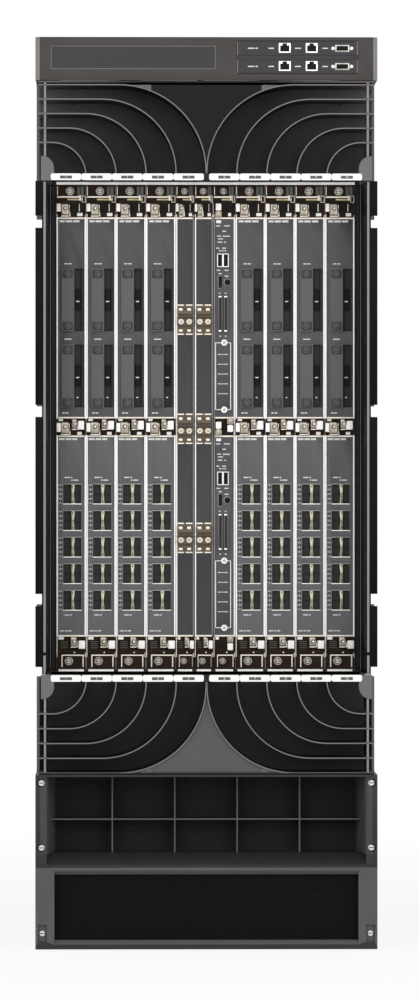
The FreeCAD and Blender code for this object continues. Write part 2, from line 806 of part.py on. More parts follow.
UPPER_FACE_1 = CAGE_1 - s.head_height - s.slide_gap - s.lever_zone
LOWER_FACE_0 = CAGE_0 + s.head_height + s.slide_gap + s.lever_zone
UPPER_FACE_0 = CAGE_MID + s.lever_overlap + s.slide_gap
LOWER_FACE_1 = CAGE_MID - s.lever_overlap - s.slide_gap


def head_plates(name, left, width, level, turn):
    """Cap and shelf of the head at a column's outer end, where no carrier makes them."""
    sheet_span = s.carrier_sheet * turn
    front = (CARRIER_FRONT, FACE + s.face_sheet)
    across = (left, left + width)
    shelf = level + s.head_height * turn
    plates = []
    for part, edge in (("cap", level), ("shelf", shelf - sheet_span)):
        span = (edge, edge + sheet_span) if turn > 0 else (edge + sheet_span, edge)
        plates.append(box(f"{name}_head_{part}", across, front, span))
    return plates


def card_ends(bottom, top, low_reach, high_reach):
    """Where a card's tongues lie: the upper one on the left, the lower one on the right."""
    return {"high": ("left", top, high_reach), "low": ("right", low_reach, bottom)}


def card_levers(name, left, width, ends):
    tabs = []
    for end, (side, low, high) in ends.items():
        place = left + s.board_inset if side == "left" else left + width - s.board_inset - s.lever_width
        root, tip = (low, high) if end == "high" else (high, low)
        tabs.append(lever(f"{name}_{end}_lever", place, root, tip))
    return tabs


def upper_line_cards():
    """Cards whose face carries two blank optic plates with an open well beside each."""
    reach_low = CAGE_MID - s.lever_overlap
    ends = card_ends(UPPER_FACE_0, UPPER_FACE_1, reach_low, UPPER_FACE_1 + s.lever_zone)
    name = "upper_card"
    pieces = card_body(name, CARD_LEFT, CARD_WIDTH, UPPER_FACE_0, UPPER_FACE_1, ends, s.card_depth)
    pieces += card_levers(name, CARD_LEFT, CARD_WIDTH, ends)
    wells = []
    optic_left = CARD_LEFT + s.optic_left
    optic_right = optic_left + s.optic_width
    for place in range(2):
        low = UPPER_FACE_0 + s.optic_first + s.optic_pitch * place
        span = (low, low + s.optic_height)
        pieces.append(box(f"optic_plate_{place}", (optic_left, optic_right),
                          (FACE - s.optic_stand, FACE), span))
        wells.append(box(f"optic_well_{place}", (optic_right, optic_right + s.well_width),
                         (FACE - s.port_depth, FACE + s.port_depth), span))
    form = cut("upper_card_form", fuse("upper_card_solid", pieces), wells)
    for place, left in enumerate(wide_columns(), start=1):
        node(f"line_card_upper_{place}", copied(f"line_card_upper_{place}", form, left))


def lower_line_cards():
    """Cards whose face carries five port blocks, each with one mouth for four optic ports."""
    reach_high = CAGE_MID + s.lever_overlap
    ends = card_ends(LOWER_FACE_0, LOWER_FACE_1, LOWER_FACE_0 - s.lever_zone, reach_high)
    name = "lower_card"
    pieces = card_body(name, CARD_LEFT, CARD_WIDTH, LOWER_FACE_0, LOWER_FACE_1, ends, s.card_depth)
    pieces += card_levers(name, CARD_LEFT, CARD_WIDTH, ends)
    ports = []
    near = CARD_LEFT + s.cage_left
    for block in range(PORT_BLOCKS):
        high = LOWER_FACE_1 - s.cage_first - s.cage_block_pitch * block
        ports.append(box(f"port_block_{block}", (near, near + s.cage_width),
                         (FACE - s.port_depth, FACE + s.port_depth),
                         (high - s.cage_block_height, high)))
    form = cut("lower_card_form", fuse("lower_card_solid", pieces), ports)
    for place, left in enumerate(wide_columns(), start=1):
        node(f"line_card_lower_{place}", copied(f"line_card_lower_{place}", form, left))


def fabric_cards():
    """Switch fabric modules, four to a column. Latch bars meet where two modules do."""
    width = s.fabric_pitch - s.slide_gap
    low_end = CAGE_0 + s.fabric_end_height
    high_end = CAGE_1 - s.fabric_end_height
    gap = s.slide_gap
    tiers = [(LOWER_FACE_0, low_end - gap), (low_end, CAGE_MID - gap),
             (CAGE_MID, high_end - gap), (high_end, UPPER_FACE_1)]
    forms = []
    for tier, (low, high) in enumerate(tiers):
        name = f"fabric_{tier}"
        ends = {}
        latches = {"low": low + s.latch_inset, "high": high - s.latch_inset - s.latch_height}
        if tier == 0:
            ends["low"] = ("right", CAGE_0, low)
            del latches["low"]
        if tier == 3:
            ends["high"] = ("left", high, CAGE_1)
            del latches["high"]
        pieces = card_body(name, as_dim(0), width, low, high, ends, s.fabric_depth)
        pieces += end_fittings(name, as_dim(0), width, ends)
        for end, base in latches.items():
            pieces.append(box(f"{name}_{end}_latch", (s.latch_inset / 2, width - s.latch_inset / 2),
                              (FACE - s.latch_stand, FACE), (base, base + s.latch_height)))
        forms.append(fuse(f"{name}_form", pieces))
    for column in range(2):
        for tier, form in enumerate(forms):
            name = f"fabric_card_{column * 4 + tier + 1}"
            node(name, copied(name, form, FABRIC_LEFT + s.fabric_pitch * column))


def end_fittings(name, left, width, ends):
    """Lever and head at the outer end of a column that has no carrier."""
    fittings = []
    for end, (side, low, high) in ends.items():
        turn = 1 if end == "low" else -1
        level = CAGE_0 if end == "low" else CAGE_1
        fittings += head_plates(f"{name}_{end}", left, width, level, turn)
        root = high if end == "low" else low
        lever_ends = {end: (side, *sorted_span(root, root - s.lever_zone * turn))}
        fittings += card_levers(name, left, width, lever_ends)
    return fittings


def sorted_span(first, second):
    return (first, second) if first.value < second.value else (second, first)


def control_card(name, face_0, face_1, low_reach, high_reach):
    """Control card: jacks, two tall connectors, a framed door and a hinged lever at each end."""
    width = s.control_pitch - s.slide_gap
    left = CONTROL_LEFT
    ends = card_ends(face_0, face_1, low_reach, high_reach)
    pieces = card_body(name, left, width, face_0, face_1, ends, s.fabric_depth)
    if low_reach is CAGE_0:
        pieces += head_plates(name, left, width, CAGE_0, 1)
    else:
        pieces += head_plates(name, left, width, CAGE_1, -1)
    for number in range(2):
        near = left + s.control_plug_left + s.control_plug_pitch * number
        high = face_1 - s.control_plug_drop
        pieces.append(box(f"{name}_connector_{number}", (near, near + s.control_plug_width),
                          (FACE - s.control_plug_stand, FACE),
                          (high - s.control_plug_height, high)))
    pieces.append(card_door(name, left + s.door_left, face_1 - s.door_drop))
    for end in ("high", "low"):
        pieces += lever_ears(name, end, left, face_0, face_1, width)
    jacks = []
    for number in range(2):
        near = left + s.control_jack_left + s.control_jack_pitch * number
        high = face_1 - s.control_jack_drop
        jacks.append(box(f"{name}_jack_{number}", (near, near + s.control_jack_width),
                         (FACE - s.port_depth, FACE + s.port_depth),
                         (high - s.control_jack_height, high)))
    node(name, cut(name, fuse(f"{name}_solid", pieces), jacks))
    for end in ("high", "low"):
        hinged_lever(name, end, left, face_0, face_1, width)


def card_door(name, left, high):
    """Raised rim of the door on a control card."""
    right = left + s.door_width
    low = high - s.door_height
    rim = box(f"{name}_door_rim", (left, right), (FACE - s.door_stand, FACE), (low, high))
    panel = box(f"{name}_door_panel", (left + s.door_rim, right - s.door_rim),
                (FACE - s.door_stand * 2, FACE), (low + s.door_rim, high - s.door_rim))
    return cut(f"{name}_door", rim, [panel])


def lever_axis(end, left, face_0, face_1, width):
    """First ear's left side, and the height of the hinge pin, at one end of a control card."""
    if end == "high":
        return left + s.ear_left, face_1 + s.hub_half + s.slide_gap
    span = s.ear_sheet * 2 + s.slide_gap * 2 + s.lever_sheet
    return left + width - s.ear_left - span, face_0 - s.hub_half - s.slide_gap


def lever_ears(name, end, left, face_0, face_1, width):
    """Two ears on the tongue and the pin between them."""
    first, level = lever_axis(end, left, face_0, face_1, width)
    second = first + s.ear_sheet + s.slide_gap * 2 + s.lever_sheet
    pin_y = FACE - s.pin_stand
    high, low = level + s.pin_radius * 2, level - s.pin_radius * 2
    ears = []
    for number, x in enumerate((first, second)):
        ears.append(box(f"{name}_{end}_ear_{number}", (x, x + s.ear_sheet),
                        (pin_y - s.pin_radius * 2, FACE), (low, high)))
    pin = rod_along_x(f"{name}_{end}_pin", (first, second + s.ear_sheet), pin_y, level, s.pin_radius)
    return ears + [pin]


def hinged_lever(name, end, left, face_0, face_1, width):
    """Lever on a control card's pin: a bored hub and an arm that lies along the card."""
    first, level = lever_axis(end, left, face_0, face_1, width)
    x = first + s.ear_sheet + s.slide_gap
    across = (x, x + s.lever_sheet)
    pin_y = FACE - s.pin_stand
    label = f"{name}_{end}_lever"
    half = s.hub_half
    hub = box(label + "_hub", across, (pin_y - half, pin_y + half), (level - half, level + half))
    arm_y = (pin_y - s.arm_sheet / 2, pin_y + s.arm_sheet / 2)
    arm_z = (level, level + s.arm_length) if end == "high" else (level - s.arm_length, level)
    arm = box(label + "_arm", across, arm_y, arm_z)
    bore = rod_along_x(label + "_bore", (x - s.slide_gap, x + s.lever_sheet + s.slide_gap),
                       pin_y, level, s.pin_radius + s.bearing_gap)
    node(label, cut(label, fuse(label + "_solid", [hub, arm]), [bore]))


def pull_handle(name, x, back, z):
    """Bow handle that stands off a rear face."""
    half = s.handle_width / 2
    out = back + s.handle_stand
    bar = s.handle_bar
    low, high = z - s.handle_height / 2, z + s.handle_height / 2
    corners = [(back, low), (out, low), (out, high), (back, high), (back, high - bar),
               (out - bar, high - bar), (out - bar, low + bar), (back, low + bar)]
    return prism(name, "YZ_Plane", corners, (x - half, x + half))


def pull_tab(name, x, back, z):
    """Flat tab that stands off a rear face and turns over at its end."""
    near, far = x - s.handle_width / 2, x + s.handle_width / 2
    out = back + s.handle_stand
    sheet_in, lip = near + s.tab_sheet, out - s.tab_sheet
    corners = [(near, back), (sheet_in, back), (sheet_in, lip), (far, lip), (far, out), (near, out)]
    return prism(name, "XY_Plane", corners, (z - s.handle_height / 2, z + s.handle_height / 2))


def power_modules():
    """Two rows of four power modules, each a closed box with a pull tab."""
    back = REAR - s.handle_stand
    pitch = (WALL_IN - s.power_side_gap) * 2 / COLUMNS
    modules = []
    for row in range(2):
        low = s.panel_sheet + s.slide_gap + s.power_rows_pitch * row
        high = low + s.power_rows_pitch - s.power_gap
        for column in range(COLUMNS):
            left = pitch * (column - COLUMNS / 2) + s.power_gap / 2
            right = left + pitch - s.power_gap
            name = f"power_{row}{column}"
            case = box(name + "_case", (left, right), (back - s.power_depth, back), (low, high))
            tab = pull_tab(name + "_tab", (left + right) / 2, back, (low + high) / 2)
            modules.append(fuse(name, [case, tab]))
    node("power_modules", group("power_modules", modules))


def fan_trays():
    """Two rear fan trays: an open box whose rear plate has four windows, a shaft and a handle."""
    half_gap = s.slide_gap / 2
    outside = WALL_IN - s.panel_sheet - s.slide_gap
    low = FAN_FLOOR + s.slide_gap
    high = TOP - s.panel_sheet - s.slide_gap
    back = REAR - s.handle_stand
    front = back - s.fan_tray_depth
    plate = back - s.fan_wall
    level = (low + high) / 2
    for name, turn in (("left", -1), ("right", 1)):
        across = (half_gap, outside) if turn > 0 else (-outside, -half_gap)
        x = (across[0] + across[1]) / 2
        label = f"fan_tray_{name}"
        case = box(label + "_case", across, (front, back), (low, high))
        hollow = box(label + "_hollow", (across[0] + s.fan_wall, across[1] - s.fan_wall),
                     (front - s.fan_wall, plate), (low + s.fan_wall, high - s.fan_wall))
        pieces = [
            cut(label + "_shell", case, [hollow, *fan_windows(label, x, level, plate, back)]),
            rod_along_y(label + "_shaft", x, (plate - s.slide_gap - s.fan_hub_depth, plate), level,
                        s.fan_shaft_radius),
            pull_handle(label + "_handle", x, plate, level),
        ]
        node(label, fuse(label, pieces))
        fan_rotor(f"fan_rotor_{name}", x, plate - s.slide_gap, level)


def fan_windows(label, x, level, plate, back):
    """The four square holes that a cross of struts leaves in a tray's rear plate."""
    near, far = s.fan_strut / 2, s.fan_window
    spans = [(-far, -near), (near, far)]
    holes = []
    for row, tall in enumerate(spans):
        for column, wide in enumerate(spans):
            holes.append(box(f"{label}_window_{row}{column}", (x + wide[0], x + wide[1]),
                             (plate - s.fan_wall, back + s.fan_wall),
                             (level + tall[0], level + tall[1])))
    return holes


def fan_rotor(name, x, back, level):
    """Bored hub with two flats to each pitched blade, on the tray's shaft."""
    front = back - s.fan_hub_depth
    middle = (front + back) / 2
    flats = FAN_BLADES * 2
    corner_radius = s.fan_hub_radius / math.cos(math.pi / flats)
    corners = []
    for number in range(flats):
        turn = 2 * math.pi * (number + 0.5) / flats
        corners.append((x + corner_radius * math.sin(turn), level + corner_radius * math.cos(turn)))
    pieces = [prism(name + "_hub", "XZ_Plane", corners, (front, back))]
    for number in range(FAN_BLADES):
        blade = doc.addObject("Part::Box", f"{name}_blade_{number}")
        bind(blade, "Length", s.fan_blade_chord)
        bind(blade, "Width", s.fan_blade_sheet)
        bind(blade, "Height", s.fan_reach - s.fan_hub_radius / 2)
        move(blade, -s.fan_blade_chord / 2, -s.fan_blade_sheet / 2, s.fan_hub_radius / 2)
        pitched = group(f"{name}_pitched_{number}", [blade])
        around = Rotation(Vector(0, 1, 0), 360 / FAN_BLADES * number)
        pitched.Placement.Rotation = around.multiply(Rotation(Vector(0, 0, 1), FAN_BLADE_PITCH))
        move(pitched, x, middle, level)
        pieces.append(pitched)
    bore = rod_along_y(name + "_bore", x, (front - s.fan_wall, back + s.fan_wall), level,
                       s.fan_shaft_radius + s.bearing_gap)
    node(name, cut(name, fuse(name + "_solid", pieces), [bore]))


def build():
    side_panels()
    folded_plate("base_pan", as_dim(0), s.panel_sheet, s.fold_height)
    folded_plate("top_cover", TOP, TOP - s.panel_sheet, TOP - s.fold_height)
    rear_panel()
    inner_shelves()
    midplane()
    header_bezel()
    management_ports()
    cable_guides()
    slot_labels()
    cable_brackets()
    inlet_frame()
    filter_tray()
    carriers()
    upper_line_cards()
    lower_line_cards()
    fabric_cards()
    control_card("control_card_upper", UPPER_FACE_0, UPPER_FACE_1,
                 CAGE_MID - s.lever_overlap, CAGE_1)
    control_card("control_card_lower", LOWER_FACE_0, LOWER_FACE_1,
                 CAGE_0, CAGE_MID + s.lever_overlap)
    power_modules()
    fan_trays()


def write_parts():
    doc.recompute()
    for item in doc.Objects:
        if "Invalid" in item.State or "Error" in item.State:
            raise RuntimeError(f"{item.Name} did not recompute: {item.State}")
    os.makedirs("parts", exist_ok=True)
    for name, item in NODES.items():
        shape = item.Shape
        if shape.isNull() or not shape.isValid():
            raise RuntimeError(f"{name} has no valid shape")
        shape.exportStep(f"parts/{name}.step")


build()
write_parts()
print(len(NODES), "nodes written")
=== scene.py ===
"""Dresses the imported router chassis: card faces, cable guides, bezels, screws, finishes, light, camera."""

import json
import math

import bpy
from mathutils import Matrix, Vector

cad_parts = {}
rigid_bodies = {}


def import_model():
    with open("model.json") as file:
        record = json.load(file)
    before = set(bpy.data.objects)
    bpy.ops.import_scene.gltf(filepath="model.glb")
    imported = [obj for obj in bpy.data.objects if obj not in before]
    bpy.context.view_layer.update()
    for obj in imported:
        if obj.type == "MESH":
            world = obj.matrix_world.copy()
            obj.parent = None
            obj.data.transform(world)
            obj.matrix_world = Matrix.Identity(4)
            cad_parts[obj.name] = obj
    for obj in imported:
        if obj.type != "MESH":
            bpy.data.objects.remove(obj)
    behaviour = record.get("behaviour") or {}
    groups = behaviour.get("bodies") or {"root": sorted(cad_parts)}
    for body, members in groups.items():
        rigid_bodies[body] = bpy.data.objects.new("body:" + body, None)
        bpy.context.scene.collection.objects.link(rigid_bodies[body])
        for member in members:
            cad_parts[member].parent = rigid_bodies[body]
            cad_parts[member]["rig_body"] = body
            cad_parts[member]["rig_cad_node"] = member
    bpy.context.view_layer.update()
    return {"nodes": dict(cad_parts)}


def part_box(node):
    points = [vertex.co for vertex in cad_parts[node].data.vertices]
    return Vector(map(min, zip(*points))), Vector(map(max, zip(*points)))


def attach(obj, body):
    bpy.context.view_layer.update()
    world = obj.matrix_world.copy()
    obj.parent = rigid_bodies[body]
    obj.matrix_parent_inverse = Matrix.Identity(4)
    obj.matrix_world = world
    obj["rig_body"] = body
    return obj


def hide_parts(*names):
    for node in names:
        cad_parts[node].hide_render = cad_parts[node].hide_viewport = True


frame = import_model()

# Lengths below are millimetres. The scene is in metres.
MM = 0.001

# Planes and levels of the frame
FRONT = -435.0
FLANGE = -337.0
FACE = -345.0
RAIL_FRONT = -347.0
REAR = 435.0
HALF_WIDTH = 241.3
CAGE_FLOOR = 394.0
CAGE_ROOF = 1084.5
CAGE_MIDDLE = 739.25
UPPER_FACE = (751.55, 1038.2)
LOWER_FACE = (440.3, 726.95)
BOARD_FRONT = FACE + 6.1
STRIP_MIRROR = 737.25

# Columns of cards
WIDE_COLUMNS = range(1, 9)
WIDE_WIDTH = 42.3
CONTROL_WIDTH = 31.3
FABRIC_PITCH = 26.8


def deselect():
    bpy.ops.object.select_all(action="DESELECT")


def pick(piece):
    deselect()
    piece.select_set(True)
    bpy.context.view_layer.objects.active = piece


def removed(piece):
    pick(piece)
    bpy.ops.object.delete()


def mode(kind):
    bpy.ops.object.mode_set(mode=kind)


def settle(piece):
    """Puts the object's place, turn and size into its mesh."""
    pick(piece)
    bpy.ops.object.transform_apply(location=True, rotation=True, scale=True)


def linear(code):
    """Linear colour of an sRGB hex value."""
    channels = [int(code[place:place + 2], 16) / 255 for place in (1, 3, 5)]
    return [c / 12.92 if c <= 0.04045 else ((c + 0.055) / 1.055) ** 2.4 for c in channels] + [1.0]


def shade(code, factor):
    """A hex colour made darker or lighter."""
    return [channel * factor for channel in linear(code)[:3]] + [1.0]


def add(tree, kind, settings, links):
    """One node with its settings and the links into it."""
    node = tree.nodes.new(kind)
    for name, value in settings.items():
        if isinstance(name, int) or name in node.inputs:
            node.inputs[name].default_value = value
        else:
            setattr(node, name, value)
    for socket, source in links.items():
        tree.links.new(source, node.inputs[socket])
    return node


def blank(name):
    """New material with its tree, its shader and the Object coordinates that its patterns read."""
    material = bpy.data.materials.new(name)
    material.use_nodes = True
    tree = material.node_tree
    shader = tree.nodes["Principled BSDF"]
    place = tree.nodes.new("ShaderNodeTexCoord").outputs["Object"]
    return material, tree, shader, place


def varied(tree, shader, code, shades, pattern, fixed, dull=None, relief=None):
    """Lets patterns vary a shader's colour between two shades, its roughness and its relief.

    dull is a pattern with the two limits of the roughness. relief is a pattern, a strength, a height
    in millimetres and whether it goes inwards. fixed holds the shader's constants.
    """
    tone = add(tree, "ShaderNodeMix",
               {"data_type": "RGBA", 6: shade(code, shades[0]), 7: shade(code, shades[1])}, {0: pattern})
    tree.links.new(tone.outputs[2], shader.inputs["Base Color"])
    if dull:
        limits = add(tree, "ShaderNodeMapRange", {"To Min": dull[1], "To Max": dull[2]}, {"Value": dull[0]})
        tree.links.new(limits.outputs["Result"], shader.inputs["Roughness"])
    if relief:
        bump = add(tree, "ShaderNodeBump",
                   {"Strength": relief[1], "Distance": relief[2] * MM, "invert": relief[3]},
                   {"Height": relief[0]})
        tree.links.new(bump.outputs["Normal"], shader.inputs["Normal"])
    for socket, value in fixed.items():
        shader.inputs[socket].default_value = value


def moulded(name, code, roughness, height=0.12, gloss=0.3):
    """ABS from a spark-eroded mould: an even colour broken by a dull leathery grain.

    The real grain is about 0.3 mm wide. It is drawn at 2.5 mm, the finest that the render shows.
    """
    material, tree, shader, place = blank(name)
    grain = add(tree, "ShaderNodeTexNoise", {"Scale": 1 / (2.5 * MM), "Detail": 3.0}, {"Vector": place})
    cloud = add(tree, "ShaderNodeTexNoise", {"Scale": 1 / (70 * MM), "Detail": 2.0}, {"Vector": place})
    grain = grain.outputs["Fac"]
    varied(tree, shader, code, (0.88, 1.12), cloud.outputs["Fac"], {"IOR": 1.53, "Specular IOR Level": gloss},
           (grain, roughness - 0.08, roughness + 0.08), (grain, 0.35, height, False))
    return material


def moulded_with_painted_light(name, code, roughness):
    """Black ABS with a painted pool of light that makes it paler in the upper outer corners."""
    material = moulded(name, code, roughness, 0.06, 0.14)
    tree = material.node_tree
    colour = tree.nodes["Principled BSDF"].inputs["Base Color"]
    place = tree.nodes["Texture Coordinate"].outputs["Object"]
    axes = add(tree, "ShaderNodeSeparateXYZ", {}, {"Vector": place})
    outward = add(tree, "ShaderNodeMath", {"operation": "ABSOLUTE"}, {0: axes.outputs["X"]})
    far = add(tree, "ShaderNodeMapRange", {"From Min": 90 * MM, "From Max": 220 * MM},
              {"Value": outward.outputs["Value"]})
    high = add(tree, "ShaderNodeMapRange", {"From Min": 1120 * MM, "From Max": 1210 * MM},
               {"Value": axes.outputs["Z"]})
    # Painted light: the share of the paler shade, growing outwards and upwards.
    painted_light_share = add(tree, "ShaderNodeMath", {"operation": "MULTIPLY"},
               {0: far.outputs["Result"], 1: high.outputs["Result"]})
    tone = add(tree, "ShaderNodeMix", {"data_type": "RGBA", 7: shade(code, 8.0)},
               {0: painted_light_share.outputs["Value"], 6: colour.links[0].from_socket})
    tree.links.new(tone.outputs[2], colour)
    return material


def powder_coated(name, code, roughness, gloss=0.3):
    """Powder coat on sheet steel: soft orange peel about 2 mm across, and faint handling marks."""
    material, tree, shader, place = blank(name)
    peel = add(tree, "ShaderNodeTexNoise", {"Scale": 1 / (2.0 * MM), "Detail": 1.0}, {"Vector": place})
    marks = add(tree, "ShaderNodeTexNoise", {"Scale": 1 / (110 * MM), "Detail": 6.0, "Roughness": 0.7},
                {"Vector": place})
    marks = marks.outputs["Fac"]
    varied(tree, shader, code, (0.9, 1.1), marks, {"IOR": 1.5, "Specular IOR Level": gloss},
           (marks, roughness - 0.1, roughness + 0.1), (peel.outputs["Fac"], 0.25, 0.1, False))
    return material


def brushed(name, code, roughness, metallic, run):
    """Brushed and clear-finished aluminium: fine lines along the run, drawn 1.5 mm apart to show."""
    material, tree, shader, place = blank(name)
    across = [1 / (1.5 * MM)] * 3
    across["xyz".index(run)] = 1 / (150 * MM)
    stretch = add(tree, "ShaderNodeMapping", {"Scale": across}, {"Vector": place})
    lines = add(tree, "ShaderNodeTexNoise", {"Scale": 1.0, "Detail": 4.0, "Roughness": 0.6},
                {"Vector": stretch.outputs["Vector"]})
    lines = lines.outputs["Fac"]
    varied(tree, shader, code, (0.9, 1.1), lines, {"Metallic": metallic, "Specular IOR Level": 0.3},
           (lines, roughness - 0.08, roughness + 0.08), (lines, 0.15, 0.05, False))
    return material


def plated(name, code, roughness):
    """Plated metal: bright, with cloudy patches about 8 mm across where the plating varies."""
    material, tree, shader, place = blank(name)
    cloud = add(tree, "ShaderNodeTexNoise", {"Scale": 1 / (8 * MM), "Detail": 4.0}, {"Vector": place})
    cloud = cloud.outputs["Fac"]
    varied(tree, shader, code, (0.86, 1.05), cloud, {"Metallic": 1.0},
           (cloud, roughness - 0.07, roughness + 0.1))
    return material


def inked(name, code, roughness, gloss=0.2):
    """Screen-print ink or label stock: flat colour that mottles a little over a few millimetres."""
    material, tree, shader, place = blank(name)
    mottle = add(tree, "ShaderNodeTexNoise", {"Scale": 1 / (5 * MM), "Detail": 2.0}, {"Vector": place})
    varied(tree, shader, code, (0.94, 1.0), mottle.outputs["Fac"],
           {"Roughness": roughness, "Specular IOR Level": gloss})
    return material


def foam(name, code):
    """Open-cell polyurethane foam: cells about 3 mm wide with dark mouths and soft walls."""
    material, tree, shader, place = blank(name)
    cells = add(tree, "ShaderNodeTexVoronoi", {"Scale": 1 / (3 * MM)}, {"Vector": place})
    cells = cells.outputs["Distance"]
    varied(tree, shader, code, (0.4, 1.6), cells, {"Roughness": 0.95, "Specular IOR Level": 0.15},
           relief=(cells, 0.8, 1.2, False))
    return material


def pierced(name, code, pitch):
    """Black painted mesh with staggered holes: two crossed waves mark the holes, which read darker."""
    material, tree, shader, place = blank(name)
    heights = []
    for turn in (-30, 30):
        slant = add(tree, "ShaderNodeMapping", {"Rotation": (0, math.radians(turn), 0)}, {"Vector": place})
        wave = add(tree, "ShaderNodeTexWave", {"bands_direction": "X", "Scale": 0.31 / (pitch * MM)},
                   {"Vector": slant.outputs["Vector"]})
        heights.append(wave.outputs["Fac"])
    holes = add(tree, "ShaderNodeMath", {"operation": "MULTIPLY"}, {0: heights[0], 1: heights[1]})
    holes = holes.outputs["Value"]
    varied(tree, shader, code, (1.7, 0.15), holes, {"Roughness": 0.6, "Specular IOR Level": 0.1},
           relief=(holes, 0.6, 0.8, True))
    return material


def laminate(name, code):
    """Glass-epoxy board: green resist with paler copper runs about 4 mm apart under it."""
    material, tree, shader, place = blank(name)
    runs = add(tree, "ShaderNodeTexBrick",
               {"Scale": 1 / (12 * MM), "Color1": shade(code, 1.0), "Color2": shade(code, 1.15),
                "Mortar": shade(code, 1.8), "Mortar Size": 0.05}, {"Vector": place})
    bump = add(tree, "ShaderNodeBump", {"Strength": 0.2, "Distance": 0.1 * MM},
               {"Height": runs.outputs["Fac"]})
    tree.links.new(runs.outputs["Color"], shader.inputs["Base Color"])
    tree.links.new(bump.outputs["Normal"], shader.inputs["Normal"])
    shader.inputs["Roughness"].default_value = 0.4
    return material


CHASSIS = powder_coated("chassis_powder_coat", "#3b3b3d", 0.5)
ZINC = plated("zinc_plated_sheet", "#c0c0bd", 0.38)
BOARD = laminate("board_laminate", "#385842")
HEADER = moulded("header_abs", "#373331", 0.5)
HEADER_EDGE_HIGHLIGHT = moulded("header_edge_abs", "#7a7674", 0.4)
PLATE = powder_coated("header_plate_paint", "#2a2a2d", 0.42)
GUIDE = moulded_with_painted_light("guide_abs_black", "#201e1f", 0.36)
GLOSS_BLACK = moulded("spandrel_abs_black", "#0f0e0f", 0.3, 0.05, 0.12)
FIN_EDGE_HIGHLIGHT = moulded("fin_edge_grey", "#6f6d6b", 0.4, 0.06)
SPANDREL = moulded("spandrel_abs_grey", "#4c4b4e", 0.45)
TAB_GREY = moulded("guide_tab_abs", "#646160", 0.45)
LABEL = inked("label_stock_white", "#f4f3f0", 0.4)
TAG = inked("tag_ink_grey", "#5a5a58", 0.5)
DIGIT = inked("digit_ink_white", "#e8e8e4", 0.5)
BRACKET = powder_coated("bracket_black_paint", "#0b0a0c", 0.42, 0.06)
BAR_GREY_AND_HIGHLIGHT = powder_coated("bracket_bar_paint", "#848281", 0.45)
INLET = moulded("inlet_abs", "#302e2f", 0.42, 0.12, 0.15)
CHEEK = moulded("inlet_cheek_abs", "#4d4b4b", 0.5, 0.12, 0.15)
MESH = pierced("inlet_mesh_paint", "#1d1c1a", 4.0)
BEZEL = moulded("bezel_abs", "#4e4c4d", 0.5)
FOAM = foam("filter_foam", "#0b0b0b")
# Nearly white and hardly metallic: the bright reflection of the polished aluminium is painted into its
# colour.
CARRIER = brushed("carrier_aluminium", "#fdfdfb", 0.42, 0.05, "z")
UPPER_GREY = brushed("upper_face_paint", "#4b4b4e", 0.5, 0.15, "z")
LOWER_GREY = brushed("lower_face_paint", "#59595c", 0.5, 0.15, "z")
FABRIC_GREY = brushed("fabric_face_paint", "#38383b", 0.5, 0.15, "z")
OPTIC = powder_coated("optic_plate_paint", "#595656", 0.45)
WELL = inked("well_black_anodised", "#2b2a28", 0.6)
CREAM = brushed("head_frame_aluminium", "#f3ebde", 0.4, 0.15, "x")
NICKEL = plated("lever_nickel", "#9d9586", 0.34)
WHITE_TAB = moulded("lever_tab_nylon", "#fbf7f5", 0.45, 0.05)
# Painted shade: dark brown for the shadows in slots, grooves and gaps, over rails and over shelf fronts.
SHADE_BROWN = inked("ejector_slot_shadow", "#2a1f18", 0.7, 0.1)
BRASS = plated("spring_brass", "#a09473", 0.35)
SPRING = plated("shield_spring_tin", "#a19f8a", 0.4)
CHROME = plated("screw_chrome", "#d6d4ce", 0.24)
DARK_SCREW = plated("screw_black_oxide", "#2b2b2c", 0.45)
BLACK = inked("socket_black", "#0b0b0b", 0.5, 0.12)
FRAME_WHITE = plated("socket_frame_tin", "#f2f1ec", 0.4)
PRINT = inked("print_ink_white", "#d8d8d4", 0.6)
GROUND = powder_coated("latch_ground_paint", "#5f5546", 0.5)
POWER = brushed("power_case_aluminium", "#b9b9b6", 0.42, 0.8, "x")
FAN = moulded("fan_abs_black", "#222223", 0.45, 0.12, 0.2)
GREEN_GREY = powder_coated("head_plate_green_grey", "#565b54", 0.5)
STEEL = plated("head_screw_steel", "#b1ada6", 0.3)
LATTICE = inked("lamp_lattice_grey", "#9d9d9b", 0.5)
LATCH = plated("latch_zinc", "#d8cfbf", 0.4)


def coat(piece, finish):
    """Gives a piece one finish on every face."""
    piece.data.materials.clear()
    piece.data.materials.append(finish)
    for face in piece.data.polygons:
        face.material_index = 0


def paint(piece, finish, chosen):
    """Gives another finish to the faces whose middle, in millimetres, and normal are chosen."""
    piece.data.materials.append(finish)
    number = len(piece.data.materials) - 1
    for face in piece.data.polygons:
        x, y, z = [value / MM for value in face.center]
        if chosen(x, y, z, face.normal):
            face.material_index = number


def edit_all(piece):
    """Goes into edit mode with all of a piece selected."""
    pick(piece)
    mode("EDIT")
    bpy.ops.mesh.select_all(action="SELECT")


def edit_chosen(piece, kind, chosen):
    """Goes into edit mode and selects the points, edges or faces whose middle, in millimetres, is chosen."""
    pick(piece)
    mode("EDIT")
    bpy.ops.mesh.select_mode(type=kind)
    bpy.ops.mesh.select_all(action="DESELECT")
    mode("OBJECT")
    points = piece.data.vertices
    parts = {"VERT": points, "EDGE": piece.data.edges, "FACE": piece.data.polygons}[kind]
    for part in parts:
        corners = [part.co] if kind == "VERT" else [points[number].co for number in part.vertices]
        part.select = chosen(*[sum(values) / len(corners) / MM for values in zip(*corners)])
    mode("EDIT")


def leaned(piece, shift, chosen):
    """Moves the chosen points, so that a side of the piece slopes."""
    edit_chosen(piece, "VERT", chosen)
    bpy.ops.transform.translate(value=[value * MM for value in shift])
    mode("OBJECT")
    return piece


